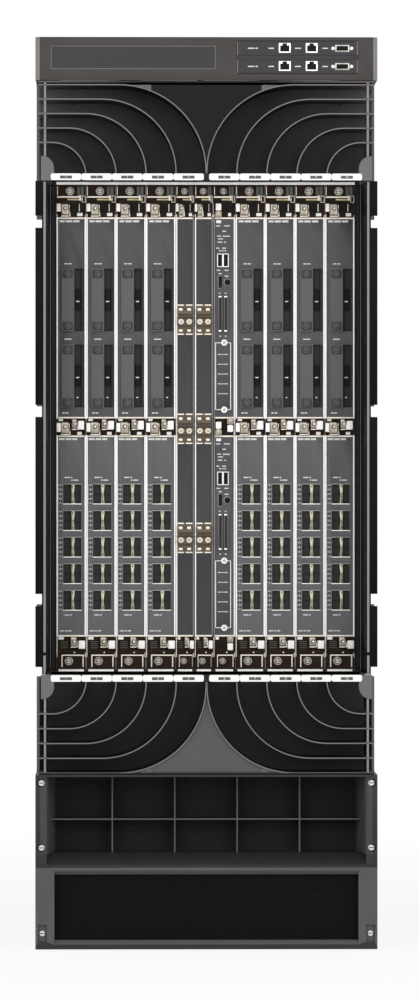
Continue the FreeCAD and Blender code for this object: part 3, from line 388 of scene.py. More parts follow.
def rounded(piece, radius, steps, chosen):
    """Rounds the chosen edges."""
    edit_chosen(piece, "EDGE", chosen)
    bpy.ops.mesh.bevel(offset=radius * MM, segments=steps, affect="EDGES")
    mode("OBJECT")
    return piece


def modified(piece, kind, settings):
    """Applies one modifier to a piece."""
    pick(piece)
    modifier = piece.modifiers.new("shaping", kind)
    for name, value in settings.items():
        setattr(modifier, name, value)
    bpy.ops.object.modifier_apply(modifier=modifier.name)


def ease(piece, width, steps=2):
    """Rounds every sharp edge of a piece."""
    modified(piece, "BEVEL", {"width": width * MM, "segments": steps, "limit_method": "ANGLE",
                              "angle_limit": math.radians(35)})


def about(middle, reach):
    """Limits on both sides of a middle."""
    return middle - reach, middle + reach


def beside(side, near, far):
    """Limits on the left, side -1, or on the right, side 1."""
    return sorted((side * near, side * far))


def block(name, x, y, z, finish, edge=0.3, steps=1):
    """Block between limits on X, Y and Z, with eased edges unless the edge is 0."""
    deselect()
    middle = [(low + high) / 2 * MM for low, high in (x, y, z)]
    size = [(high - low) * MM for low, high in (x, y, z)]
    bpy.ops.mesh.primitive_cube_add(size=1, location=middle, scale=size)
    piece = bpy.context.object
    piece.name = name
    settle(piece)
    if edge:
        edit_all(piece)
        bpy.ops.mesh.bevel(offset=edge * MM, segments=steps, affect="EDGES", clamp_overlap=True)
        mode("OBJECT")
    coat(piece, finish)
    return piece


def disc(name, x, z, radius, span, finish, sides=24, edge=0.5):
    """Round piece along Y between two depths, with eased rims unless the edge is 0."""
    deselect()
    middle = [x * MM, (span[0] + span[1]) / 2 * MM, z * MM]
    bpy.ops.mesh.primitive_cylinder_add(vertices=sides, radius=radius * MM, depth=(span[1] - span[0]) * MM,
                                        location=middle, rotation=(math.pi / 2, 0, 0))
    piece = bpy.context.object
    piece.name = name
    settle(piece)
    coat(piece, finish)
    if edge:
        ease(piece, edge, 1)
    return piece


def rim(name, x, y, z, wall, finish, edge=0.3):
    """Open rectangular rim of four bars around a hole."""
    between = (x[0] + wall, x[1] - wall)
    return joined(name, [
        block(name, (x[0], x[0] + wall), y, z, finish, edge),
        block(name, (x[1] - wall, x[1]), y, z, finish, edge),
        block(name, between, y, (z[0], z[0] + wall), finish, edge),
        block(name, between, y, (z[1] - wall, z[1]), finish, edge),
    ])


def built(base, rows, make=block):
    """Blocks or rims from rows: a name, limits on X, Y and Z that count from a point, and the look."""
    pieces = []
    for name, x, y, z, *look in rows:
        limits = [(start + low, start + high) for start, (low, high) in zip(base, (x, y, z))]
        pieces.append(make(name, *limits, *look))
    return pieces


def joined(name, pieces):
    """One piece from several, under a new name."""
    deselect()
    for piece in pieces:
        piece.select_set(True)
    bpy.context.view_layer.objects.active = pieces[0]
    if len(pieces) > 1:
        bpy.ops.object.join()
    piece = bpy.context.object
    piece.name = name
    return piece


def bored(piece, cutters):
    """Takes the cutters' shapes out of a piece."""
    cutter = joined("cutter", cutters)
    modified(piece, "BOOLEAN", {"operation": "DIFFERENCE", "object": cutter})
    removed(cutter)
    return piece


def twin(piece, name):
    """Copy with its own mesh."""
    pick(piece)
    bpy.ops.object.duplicate(linked=False)
    copy = bpy.context.object
    copy.name = name
    return copy


def copied(piece, shift, name):
    """Copy moved by a shift."""
    copy = twin(piece, name)
    copy.location = [value * MM for value in shift]
    settle(copy)
    return copy


def mirrored(piece, axis, middle, name):
    """Mirror image across a plane, with its faces turned outwards again."""
    copy = twin(piece, name)
    place = "xyz".index(axis)
    copy.scale[place] = -1
    copy.location[place] = 2 * middle * MM
    settle(copy)
    edit_all(copy)
    bpy.ops.mesh.normals_make_consistent(inside=False)
    mode("OBJECT")
    return copy


def eased_copy(node, name, finish, width=0.5, steps=2):
    """Copy of a frame solid with its doubles merged, its flats made whole and its edges rounded."""
    copy = twin(frame["nodes"][node], name)
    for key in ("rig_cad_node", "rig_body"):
        if key in copy:
            del copy[key]
    bpy.ops.object.parent_clear(type="CLEAR_KEEP_TRANSFORM")
    settle(copy)
    edit_all(copy)
    bpy.ops.mesh.remove_doubles(threshold=0.005 * MM)
    bpy.ops.mesh.dissolve_limited(angle_limit=math.radians(1))
    mode("OBJECT")
    coat(copy, finish)
    if width:
        ease(copy, width, steps)
    return copy


def carried(piece, body, slot, *nodes):
    """A finished piece: smooth where it is round, on its body, in place of its nodes. Its slot is not used.
    """
    pick(piece)
    bpy.ops.object.shade_smooth_by_angle(angle=math.radians(40))
    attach(piece, body)
    if nodes:
        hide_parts(*nodes)
    return piece


def repeated(model, slot, names, shifts):
    """Copies of a model at shifts across, each on the body of its name; the model goes."""
    for name, shift in zip(names, shifts):
        carried(copied(model, (shift, 0, 0), name + "_dressed"), name, slot, name)
    removed(model)


def dressed(node, finish):
    """A frame solid that stays as it is and gets a finish."""
    for place in frame["nodes"][node].material_slots:
        place.material = finish


def spans(node):
    """Limits of a frame solid on X, Y and Z, in millimetres."""
    return [(low / MM, high / MM) for low, high in zip(*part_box(node))]


# Cable guides. Levels are those of the upper guide; the lower one is its mirror image.
GUIDE_STRIP = (1085.7, 1096.0)
GUIDE_TOP = 1226.5
GUIDE_REACH = 237.0
GUIDE_BACK = (FRONT + 80, FRONT + 83)
FIN_FRONT = FRONT + 2
FIN_COUNT = 5
FIN_PITCH = 42.3
FIN_SHEET = 1.6
FIRST_BEND = 48
BEND_STEP = 18.8
TAB_TOP = 1120.2
TAB_INNER = -215.0
# The fins and the back end here, clear of the shelf lip behind the strip.
GUIDE_FOOT = 1090.8


def fin_lines(number, rises):
    """Foot, height and bend radius of one fin in the left half; rises are the first fin's and the step."""
    foot = -FIN_PITCH * (FIN_COUNT - 1 - number) - 0.55
    rise = GUIDE_STRIP[1] + rises[0] + rises[1] * number
    return foot, rise, FIRST_BEND + BEND_STEP * number


def curved_fin(number, rises):
    """Sheet that runs in from the side, rounds a bend and drops to the label strip."""
    foot, rise, radius = fin_lines(number, rises)
    depth = (FIN_FRONT, GUIDE_BACK[0] + 1)
    deselect()
    middle = ((foot - GUIDE_REACH) / 2 * MM, sum(depth) / 2 * MM, rise * MM)
    bpy.ops.mesh.primitive_plane_add(size=1, location=middle)
    fin = bpy.context.object
    fin.name = "guide_fin"
    fin.scale = ((foot + GUIDE_REACH) * MM, (depth[1] - depth[0]) * MM, 1)
    settle(fin)
    edit_chosen(fin, "EDGE", lambda x, y, z: x > foot - 0.1)
    drop = (GUIDE_FOOT - rise) * MM
    bpy.ops.mesh.extrude_region_move(TRANSFORM_OT_translate={"value": (0, 0, drop)})
    mode("OBJECT")
    rounded(fin, radius, 20, lambda x, y, z: x > foot - 0.1 and z > rise - 0.1)
    modified(fin, "SOLIDIFY", {"thickness": FIN_SHEET * MM, "offset": 0})
    coat(fin, GUIDE)
    # Painted highlight: the fins' front faces are paler grey than the black fins.
    paint(fin, FIN_EDGE_HIGHLIGHT, lambda x, y, z, normal: normal.y < -0.9)
    return fin


def spandrel_plate(rises, span, finish):
    """Flat plate between the ledge and the outermost bends: a block with the bend's circle taken out."""
    foot, rise, radius = fin_lines(FIN_COUNT - 1, rises)
    centre = (foot - radius, rise - radius)
    plate = block("spandrel", span, (FRONT + 6, FRONT + 9), (centre[1], rise), finish, 0.05)
    return bored(plate, [disc("bend", *centre, radius, about(FRONT + 7, 50), finish, 160, 0)])


def corner_tab():
    """Grey tab at the end of the strip, with its inner top corner rounded."""
    tab = block("corner_tab", (-233.5, TAB_INNER), (FRONT + 0.4, FRONT + 4), (GUIDE_STRIP[0], TAB_TOP),
                TAB_GREY, 0)
    rounded(tab, 17, 12, lambda x, y, z: x > TAB_INNER - 0.5 and z > TAB_TOP - 0.5)
    ease(tab, 0.3, 1)
    return tab


def guide(name, spandrel_finish, rises):
    """One whole cable guide, at the upper guide's place."""
    back = GUIDE_BACK[0]
    half = [curved_fin(number, rises) for number in range(FIN_COUNT)]
    half += [
        block("guide_back", (-GUIDE_REACH, 0), GUIDE_BACK, (GUIDE_FOOT, GUIDE_TOP), GUIDE),
        block("guide_leg", (-GUIDE_REACH, -225), (back, FLANGE), (GUIDE_STRIP[1], GUIDE_TOP), GUIDE),
        block("guide_strip", (-224.2, 0), (FRONT + 1, FRONT + 9), GUIDE_STRIP, GUIDE),
        block("guide_rod", (-229.2, -226.2), (FIN_FRONT, FIN_FRONT + 4), (1090.9, GUIDE_TOP), BAR_GREY_AND_HIGHLIGHT, 0.6, 2),
        block("guide_ledge", (-GUIDE_REACH, 0), (FIN_FRONT, GUIDE_BACK[1]), (1224.0, GUIDE_TOP), GUIDE, 0.4),
        corner_tab(),
        spandrel_plate(rises, (-122.0, -78.0), TAB_GREY),
        spandrel_plate(rises, (-78.0, 0), spandrel_finish),
    ]
    for x, z in ((-190.4, 1200.8), (-88.0, 1206.6)):
        half.append(disc("guide_screw", x, z, 3.2, (back - 2.2, back), DARK_SCREW, 16))
    left = joined("guide_half", half)
    right = mirrored(left, "x", 0, "guide_half_right")
    return joined(name, [left, right])


def cable_guides():
    """The guide over the cards and its mirror image under them, which differ in finish and bends."""
    upper = guide("upper_guide_dressed", GLOSS_BLACK, (43.3, 20.4))
    model = guide("lower_guide_model", SPANDREL, (45.0, 20.9))
    lower = mirrored(model, "z", STRIP_MIRROR, "lower_guide_dressed")
    removed(model)
    carried(upper, "root", "guide_plastic", "upper_cable_guide")
    carried(lower, "root", "guide_plastic", "lower_cable_guide")


def digits(text, x, y, z, height, finish):
    """Numerals that stand on a front face, made a mesh before their place is applied."""
    deselect()
    bpy.ops.object.text_add(rotation=(math.pi / 2, 0, 0))
    letters = bpy.context.object
    letters.data.body = text
    letters.data.size = height * MM * 1.35
    letters.data.extrude = 0.05 * MM
    letters.data.align_x = "CENTER"
    letters.data.align_y = "CENTER"
    bpy.ops.object.convert(target="MESH")
    numeral = bpy.context.object
    numeral.name = "numeral"
    numeral.location = (x * MM, y * MM, z * MM)
    settle(numeral)
    coat(numeral, finish)
    return numeral


# Slot labels: ten to a strip, five on each side of the middle
LABEL_LEVELS = (378.95, 1086.15)
LABELS_A_SIDE = 5
LABEL_PITCH = 43.2
LABEL_WIDTH = 42.9
LABEL_HEIGHT = 9.4


def slot_labels():
    """White tiles with round corners on the strips, each with a grey tag that bears its column's number."""
    pieces = []
    for low in LABEL_LEVELS:
        for place in range(2 * LABELS_A_SIDE):
            side = -1 if place < LABELS_A_SIDE else 1
            step = LABELS_A_SIDE - 1 - place if side < 0 else place - LABELS_A_SIDE
            near = 3.8 + LABEL_PITCH * step
            x = beside(side, near, near + LABEL_WIDTH)
            middle = sum(x) / 2
            tile = block("label_tile", x, (FRONT + 0.3, FRONT + 1.4), (low, low + LABEL_HEIGHT), LABEL, 0)
            rounded(tile, 2.6, 4,
                    lambda x, y, z: abs(x - middle) > 21 and abs(z - low - LABEL_HEIGHT / 2) > 4)
            tag = block("label_tag", about(middle, 8.5), (FRONT + 0.12, FRONT + 0.6), (low + 2.2, low + 6.4),
                        TAG, 0.1)
            pieces += [tile, tag, digits(str(place + 1), middle, FRONT + 0.07, low + 4.3, 3.4, DIGIT)]
    carried(joined("slot_labels_dressed", pieces), "root", "label_white", "slot_labels")


def cable_brackets():
    """Notched black brackets, each with a light bar down its face, a painted highlight of the bracket's
    rounded nose.
    """
    sheet = eased_copy("cable_brackets", "brackets", BRACKET, 0.5)
    pieces = [copied(sheet, (0, 0.5, 0), "brackets_set_back")]
    removed(sheet)
    # The light bars are painted highlights where the brackets' rounded edges catch the light.
    for side in (-1, 1):
        for z in ((390.5, 416.0), (420.2, 1084.0)):
            x = beside(side, 226.6, 229.9)
            pieces.append(block("bracket_bar", x, (FRONT + 0.05, FRONT + 1.5), z, BAR_GREY_AND_HIGHLIGHT, 0.4, 2))
    carried(joined("cable_brackets_dressed", pieces), "root", "bracket_paint", "cable_brackets")


def slotted_screw(name, x, z, radius, front, finish):
    """Screw head with a straight slot, seated on a front plane."""
    head = disc(name, x, z, radius, (front - radius * 0.45, front), finish, 20, radius * 0.18)
    slot = block(name + "_slot", about(x, radius * 0.8), (front - radius * 0.47, front - radius * 0.3),
                 about(z, radius * 0.12), BLACK, 0.05)
    return joined(name, [head, slot])


def header():
    """Hood with painted highlights on its rounded side edges and a bare recessed plate in a thin light rim, a
    painted highlight along the recess edge.
    """
    hood = eased_copy("header_bezel", "header_hood", HEADER, 0.6)
    # Painted highlight: the rounded side edges of the hood's front get a paler plastic.
    paint(hood, HEADER_EDGE_HIGHLIGHT, lambda x, y, z, normal: abs(x) > HALF_WIDTH - 6 and y < FRONT + 6)
    plate = block("bare_plate", (-218.6, 12.0), (FRONT + 0.5, FRONT + 1.6), (1243.7, 1274.8), PLATE, 0.4)
    # The light rim is a painted highlight along the plate's recess edge.
    edge = rim("bare_plate_rim", (-219.3, 12.7), (FRONT + 0.3, FRONT + 1.5), (1243.0, 1275.5), 0.8, BAR_GREY_AND_HIGHLIGHT, 0.2)
    carried(joined("header_dressed", [hood, plate, edge]), "root", "header_plastic", "header_bezel")


# Front of the plate that bears the management ports
PORT_FRONT = FRONT + 1.5


def jack(x, z):
    """Eight-way modular jack: tin shield and a black mouth that steps up for the plug's latch."""
    shield = ("jack_shield", (-8.5, 8.5), (-1.4, 4), (-7.1, 7.1), 2.2, FRAME_WHITE, 0.4)
    return built((x, PORT_FRONT, z), [shield], rim) + built((x, PORT_FRONT, z), (
        ("jack_mouth", (-6.3, 6.3), (-1.1, 2), (-4.9, 3.4), BLACK, 0.1),
        ("jack_corners", (-6.4, 6.4), (-1.0, 2), (3.2, 5.0), FRAME_WHITE, 0.1),
        ("jack_latch", (-3.2, 3.2), (-1.45, 0), (3.0, 6.4), BLACK, 0.1),
    ))


def serial_port(x, z):
    """Nine-way serial port: a tapered tin shell around a black insert, with a jack screw each side."""
    screws = [disc("jack_screw", place, z, 2.9, (PORT_FRONT - 1.4, PORT_FRONT), CHROME, 6, 0.3)
              for place in about(x, 13.1)]
    return screws + built((x, PORT_FRONT, z), (
        ("serial_shell", (-10.5, 10.5), (-1.4, 2), (-5.4, 5.4), STEEL, 1.2, 3),
        ("serial_insert", (-8.6, 8.6), (-1.5, 0), (-3.7, 3.7), BLACK, 0.9, 3),
    ))


def management_ports():
    """Two strips of ports on a plate, each with two jacks, a serial port and print."""
    pieces = [eased_copy("management_ports", "port_panel", PLATE, 0.3)]
    lines = ((58.5, 9.0), (69.0, 3.5), (87.4, 7.8), (124.8, 8.4), (163.7, 7.6))
    for middle in (1272.3, 1246.7):
        # The light strip ends are painted highlights of the strips' side edges.
        pieces += built((0, PORT_FRONT, middle), (
            ("port_strip", (43.3, 213.4), (-0.8, 0.5), (-10.3, 10.3), PLATE, 0.5),
            *[("strip_end", (x, x + 0.9), (-1.0, 0), (-9.7, 9.7), BAR_GREY_AND_HIGHLIGHT, 0.1) for x in (43.4, 212.4)],
            *[("port_print", (x, x + length), (-0.9, -0.7), (-0.8, 0.8), PRINT, 0.04) for x, length in lines],
        ))
        pieces += jack(110.4, middle + 0.6) + jack(148.4, middle + 0.6) + serial_port(191.6, middle)
    carried(joined("management_ports_dressed", pieces), "root", "port_plate", "management_ports")


def air_inlet():
    """Deep frame with sloping inner cheeks, its mesh and four screws sunk into its outer cheeks."""
    places = [(x, z) for x in (-233.0, 233.0) for z in (236.0, 144.5)]
    shell = eased_copy("inlet_frame", "inlet_shell", INLET, 0)
    leaned(shell, (0, 0, -8), lambda x, y, z: y > FRONT + 50 and 180 < z < 200 and abs(x) < 227)
    bored(shell, [disc("screw_bore", x, z, 6.0, (FRONT - 2, FRONT + 5), WELL, 24, 0.1) for x, z in places])
    ease(shell, 0.7)
    paint(shell, SPANDREL, lambda x, y, z, normal: normal.y < -0.9 and abs(y - FRONT - 58) < 0.5)
    paint(shell, CHEEK, lambda x, y, z, normal: abs(normal.x) > 0.3 and y < FRONT + 8 and 225 < abs(x) < 235)
    pieces = [shell]
    for side in (-1, 1):
        cheek = block("cheek_slope", beside(side, 225.2, 214.5), (FRONT + 9, FLANGE - 2), (134.6, 244.4),
                      CHEEK, 0)
        pieces.append(leaned(cheek, (side * 10.4, 0, 0), lambda x, y, z: abs(x) < 220 and y < FRONT + 50))
    for x, z in places:
        pieces.append(slotted_screw("inlet_screw", x, z, 4.8, FRONT + 4.4, CHROME))
    carried(joined("inlet_frame_dressed", pieces), "root", "inlet_plastic", "inlet_frame")
    dressed("inlet_mesh", MESH)


def filter_tray():
    """Bezel with two slotted screws in shallow square pockets, and the foam."""
    middles = (-231.5, 231.5)
    shell = eased_copy("filter_bezel", "bezel_shell", BEZEL, 0)
    bored(shell, [block("pocket", about(x, 6.3), (FRONT - 2, FRONT + 5), (12, 36), BEZEL, 0)
                  for x in middles])
    ease(shell, 1.0)
    paint(shell, INLET, lambda x, y, z, normal: y < FRONT + 1 and z < 9 and abs(x) < 214)
    pieces = [shell]
    for x in middles:
        pieces.append(block("pocket_floor", about(x, 6.2), (FRONT + 4.6, FRONT + 5.4), (12.1, 35.9),
                            BEZEL, 0.1))
        pieces.append(slotted_screw("bezel_screw", x, 23.8, 4.8, FRONT + 4.6, CHROME))
    carried(joined("filter_bezel_dressed", pieces), "filter_tray", "bezel_plastic", "filter_bezel")
    dressed("filter_foam", FOAM)


# Card faces
LEVER_FRONT = FACE - 12.8
RING_FRONT = FACE - 8.0
PROUD = 2.9
LEVER_PLANE = FACE - 2.5
WIDE_HEAD = 40
WELL_HEIGHT = 89
PORT_BLOCKS = 5
PORT_PITCH = 37.9
PORT_CAGE = 27.5


def fitted(left, level, rows, make=block):
    """Blocks or rims on a card, from rows that count from a left edge, the face plane and a level."""
    return built((left, FACE, level), rows, make)


def cream_line(x, z, out=1.5):
    return "cream_line", x, (-out, 0.4), z, CREAM, 0.25


def shadow_window(x, z, finish=SHADE_BROWN):
    """Slot in the sheet behind a lever, which shows only as a dark gap."""
    return "shadow_window", x, (-0.5, 0.4), z, finish, 0.1


def lever_ground(x, z, back):
    return "lever_ground", x, (-0.3, back), z, SHADE_BROWN, 0.1


def name_tag(x, z):
    return "blank_tag", x, (-1.0, 0.2), z, LABEL, 0.3


def shares(left, width):
    """Function that gives the place of a share of a column's width."""
    return lambda share: left + width * share


def ring_block(x, z, eye_level):
    """Nickel lever body with a round eye, a groove at its foot and a sloping flank in cream as a painted
    highlight.
    """
    near, far = x
    foot, top = z
    front = RING_FRONT
    middle = near + (far - near) * 0.45
    radius = min(3.3, (far - near) / 2 - 1.4)
    lean = ((near - far) * 0.16, 0, 0)
    level = (foot + top) / 2
    sunk_depth = (front - 0.15, front + 0.5)
    body = block("lever_body", (near, far - 0.8), (front, FACE + 0.4), z, NICKEL, 1.6, 3)
    # Painted highlight: the sloping flank is cream, where the slanted edge catches the light.
    flank = block("lever_flank", (far - 1.9, far), (front - 0.9, FACE), (foot + 0.4, top - 2.0),
                  CREAM, 0.4, 2)
    leaned(body, lean, lambda a, b, c: a > middle and c > level)
    leaned(flank, lean, lambda a, b, c: a > far - 0.95 and c > level)
    return [
        body,
        flank,
        block("lever_foot", (near + 0.4, far - 2.4), (front - 0.5, FACE), (foot + 0.1, foot + 1.5), CREAM),
        disc("lever_eye_collar", middle, eye_level, radius + 0.9, about(front, 0.6), STEEL, 20, 0.3),
        disc("lever_eye", middle, eye_level, radius, (front - 0.8, front + 0.4), GROUND, 20, 0.1),
        disc("lever_pin", middle + 0.5, eye_level + 0.3, radius * 0.5, (front - 1.1, front), CREAM, 14, 0.2),
        block("lever_groove", (near + 0.8, far - 2.4), sunk_depth, (foot + 1.8, foot + 3.2), SHADE_BROWN, 0.1),
        block("lever_slit", (far - 2.7, far - 2.0), sunk_depth, (foot + 1.8, level), SHADE_BROWN, 0.1),
    ]


def white_tab(x, z, toward):
    """Nylon finger tab at a lever's tip, on an arm that stands on the side towards the column's middle."""
    arm_x = sorted((sum(x) / 2 - 0.4 * toward, (x[1] if toward > 0 else x[0]) - 0.4 * toward))
    arm_z = (z[0] + 1.5, z[1] - 1.5)
    tab = block("lever_tab", x, (LEVER_FRONT, LEVER_FRONT + 6.0), z, WHITE_TAB, 1.2, 3)
    arm = block("lever_arm", arm_x, (LEVER_FRONT + 5.0, FACE + 0.3), arm_z, NICKEL, 0.4)
    return joined("lever_tab", [tab, arm])


def words(x, z, lengths, height=1.5, gap=1.2, depth=FACE):
    """A line of print too small to read: short bars, one to a word."""
    bars = []
    for length in lengths:
        bars.append(block("print_bar", (x, x + length), (depth - 0.12, depth + 0.1), (z, z + height),
                          PRINT, 0.03))
        x += length + gap
    return bars


def printed(left, level, rows):
    """Lines of print whose places count from a left edge and a level."""
    return [bar for x, z, *line in rows for bar in words(left + x, level + z, *line)]


def rail_shades(left, width, span):
    """Dark sheet over both edges of a column, where its heads and levers break the bright rails."""
    edge = left + width
    return fitted(0, 0, [("rail_shade", x, (-2.5, -1.6), span, SHADE_BROWN, 0.1)
                         for x in ((left + 0.2, left + 2.5), (edge - 2.5, edge - 0.2))])


def side_rails(left, width, near, far, finishes):
    """Bright folded edges down both sides of a narrow card; near and far are their spans upwards."""
    edge = left + width
    return fitted(0, 0, (
        ("edge_rail", (left + 0.5, left + 2.2), (-2, 0.4), near, finishes[0]),
        ("edge_rail", (edge - 2.2, edge - 0.5), (-2, 0.4), far, finishes[1]),
    ))


def thumbscrew(x, z, width, out):
    """Captive screw of a head: a knurled head of flats, a dark ring, a domed cap and a cross slot."""
    radius = 6.4 if width > WIDE_HEAD else 5.0
    front = FACE - out
    return [
        disc("thumbscrew", x, z, radius, (front, FACE), STEEL, 18, radius * 0.14),
        disc("thumbscrew_ring", x, z, radius * 0.74, (front - 0.2, front + 0.3), GROUND, 18, 0.1),
        disc("thumbscrew_cap", x, z, radius * 0.56, (front - 0.9, front + 0.3), STEEL, 18, 0.4),
        block("thumbscrew_slot", about(x, radius / 2), (front - 1.0, front - 0.6), about(z, 0.5), SHADE_BROWN, 0.1),
    ]


def plain_knob(x, z, radius, front, back, finish):
    """Round push knob with a shallow dish."""
    return [
        disc("push_knob", x, z, radius, (front, back), finish, 24, radius * 0.25),
        disc("push_knob_dish", x, z, radius * 0.45, (front - 0.15, front + 0.4), NICKEL, 18, 0.1),
    ]


def top_head(left, width):
    """Head over a column: shadowed window with its screw, a grey-green plate, a shelf and a brass bar."""
    at = shares(left, width)
    edge = left + width
    hook = ("shelf_hook", (at(0.86), edge - 0.7), (-PROUD, -1), (-25.0, -15.4), 0.8, CREAM, 0.2)
    return [
        *rail_shades(left, width, (CAGE_ROOF - 46.0, CAGE_ROOF - 0.1)),
        *fitted(0, CAGE_ROOF, (
            shadow_window((at(0.055), at(0.945)), (-22.4, -2.0)),
            ("roof_shadow", (left + 2.4, edge - 2.4), (-2.5, -1.5), (-2.2, -0.1), SHADE_BROWN, 0.1),
            cream_line((left + 1.1, left + 2.2), (-14.5, -2.4), PROUD),
            ("head_plate", (at(0.70), at(0.93)), (-1.2, 0.4), (-15.8, -2.2), GREEN_GREY),
            ("plate_groove", (at(0.79), at(0.82)), (-1.4, 0), (-14.6, -2.8), SHADE_BROWN, 0.05),
            cream_line((left + 0.9, at(0.80)), (-18.3, -16.0), PROUD),
            ("shelf_notch", (at(0.765), at(0.835)), (-2.7, 0), (-22.4, -14.6), CREAM, 0.5),
            ("brass_bar", (at(0.36), at(0.90)), (-2.6, 0), (-22.3, -19.3), BRASS, 0.6, 2),
            ("shelf_shadow", (at(0.055), at(0.945)), (-2.4, -1.8), (-24.6, -22.4), SHADE_BROWN, 0.1),
            cream_line((left + 0.6, left + 1.8), (-45.6, -41.5), PROUD),
            cream_line((edge - 1.6, edge - 0.6), (-45.6, -43.0), PROUD),
            ("head_tie", (at(0.07), at(0.93)), (0, 1.5), (-22.4, -1.8), SHADE_BROWN),
        )),
        *fitted(0, CAGE_ROOF, [hook], rim),
        *thumbscrew(at(0.46), CAGE_ROOF - 8.8, width, 3.4),
    ]


def bottom_head(left, width):
    """Head under a column: a bar of painted shadow over the shelf with a bright dot, and a cream frame round
    a screw.
    """
    at = shares(left, width)
    edge = left + width
    return [
        *rail_shades(left, width, (CAGE_FLOOR + 0.1, CAGE_FLOOR + 46.0)),
        *fitted(0, CAGE_FLOOR, (
            shadow_window((at(0.055), at(0.945)), (2.0, 22.4)),
            ("floor_shadow", (left + 2.4, edge - 2.4), (-2.5, -1.5), (0.1, 2.2), SHADE_BROWN, 0.1),
            # Painted shadow over the front of the shelf under the head.
            ("brown_bar", (at(0.055), at(0.945)), (-2.4, -1.8), (22.4, 24.6), SHADE_BROWN, 0.1),
            cream_line((left + 0.4, left + 1.5), (17.0, 45.6), PROUD),
            cream_line((at(0.17), at(0.945)), (18.6, 20.4)),
            cream_line((at(0.17), at(0.21)), (2.6, 18.6)),
            cream_line((at(0.88), at(0.92)), (2.6, 18.6)),
            cream_line((edge - 1.7, edge - 0.6), (16.5, 23.0), PROUD),
            ("head_tie", (at(0.07), at(0.93)), (0, 1.5), (1.8, 22.4), SHADE_BROWN),
        )),
        disc("bar_dot", at(0.61), CAGE_FLOOR + 23.5, 1.3, (FACE - 3.0, FACE - 2), CHROME, 12, 0.3),
        *thumbscrew(at(0.42), CAGE_FLOOR + 11.2, width, 3.6),
    ]


def top_lever(left, width):
    """Ejector at a column's top: tab and eye block on the left, a dark slot and a tag on the right."""
    at = shares(left, width)
    low = UPPER_FACE[1]
    return [
        *fitted(0, low, (
            lever_ground((at(0.06), at(0.94)), (0.2, 21.2), 1.4),
            shadow_window((at(0.50), at(0.74)), (6.4, 20.4), BLACK),
            ("slot_edge", (at(0.76), at(0.785)), (-1.2, 0), (8.5, 19.4), CREAM, 0.15),
            name_tag((at(0.70), at(0.885)), (1.8, 6.5)),
            cream_line((at(0.06), at(0.94)), (-2.2, 0.1)),
        )),
        white_tab((at(0.006), at(0.145)), (low + 7.8, low + 19.4), 1),
        *ring_block((at(0.15), at(0.48)), (low + 0.8, low + 19.6), low + 12.5),
    ]


def bottom_lever(left, width):
    """Ejector at a column's foot: tag and sprung slot on the left, eye block and tab on the right."""
    at = shares(left, width)
    high = LOWER_FACE[0]
    springs = [-16.8 + 2.9 * step for step in range(4)]
    return [
        *fitted(0, high, (
            lever_ground((at(0.06), at(0.94)), (-21.2, -0.2), 1.4),
            name_tag((at(0.07), at(0.25)), (-4.6, -0.6)),
            shadow_window((at(0.09), at(0.44)), (-18.0, -5.4), BLACK),
            cream_line((at(0.06), at(0.94)), (-0.2, 2.0)),
            *[("slot_spring", (at(0.14), at(0.40)), (-1.1, 0), (z, z + 1.2), GROUND) for z in springs],
        )),
        *ring_block((at(0.47), at(0.74)), (high - 15.8, high - 0.4), high - 7.5),
        white_tab((at(0.75), at(0.975)), (high - 17.4, high - 5.6), -1),
    ]


def carriers():
    """Frames of the wide columns, bright with a painted reflection, with a head at each end and painted shade
    on their edges at the levers.
    """
    left, right = spans("carrier_1")[0]
    width = right - left
    model = joined("carrier_model", [
        eased_copy("carrier_1", "carrier_frame", CARRIER, 0.4, 2),
        *top_head(left, width),
        *bottom_head(left, width),
        *rail_shades(left, width, (LOWER_FACE[1] + 0.5, UPPER_FACE[0] - 0.4)),
    ])
    repeated(model, "carrier_metal", [f"carrier_{number}" for number in WIDE_COLUMNS], column_shifts())


def column_shifts():
    """How far each wide column stands from the first."""
    lefts = [spans(f"carrier_{number}")[0][0] for number in WIDE_COLUMNS]
    return [left - lefts[0] for left in lefts]


def bare_card(node, name, finish, low, high):
    """Copy of a card without its plain lever bars, its face closed behind them and its board green."""
    card = eased_copy(node, name, finish, 0)
    edit_chosen(card, "FACE", lambda x, y, z: y < LEVER_PLANE and not low < z < high)
    bpy.ops.mesh.delete(type="FACE")
    bpy.ops.mesh.select_all(action="SELECT")
    bpy.ops.mesh.fill_holes(sides=0)
    mode("OBJECT")
    ease(card, 0.35, 1)
    paint(card, BOARD, lambda x, y, z, normal: y > BOARD_FRONT)
    return card


def paint_wells(card, across, up):
    """Blackens what lies behind a card's face between limits across and upwards."""
    paint(card, WELL, lambda x, y, z, normal: FACE + 0.1 < y < FACE + 5.5
          and across[0] < x < across[1] and up[0] < z < up[1])


def optic_knob(x, z):
    """Painted knob on a dark square base."""
    return [
        block("knob_base", about(x, 7), (FACE - 5.4, FACE - 3.8), about(z, 5.6), FABRIC_GREY, 0.4),
        disc("knob", x, z, 5.2, (FACE - 9.0, FACE - 5.2), OPTIC, 24, 0.9),
        disc("knob_dish", x, z, 3.2, (FACE - 9.3, FACE - 8.6), WELL, 20, 0.2),
        disc("knob_cap", x, z, 2.3, (FACE - 9.7, FACE - 8.6), OPTIC, 20, 0.4),
    ]


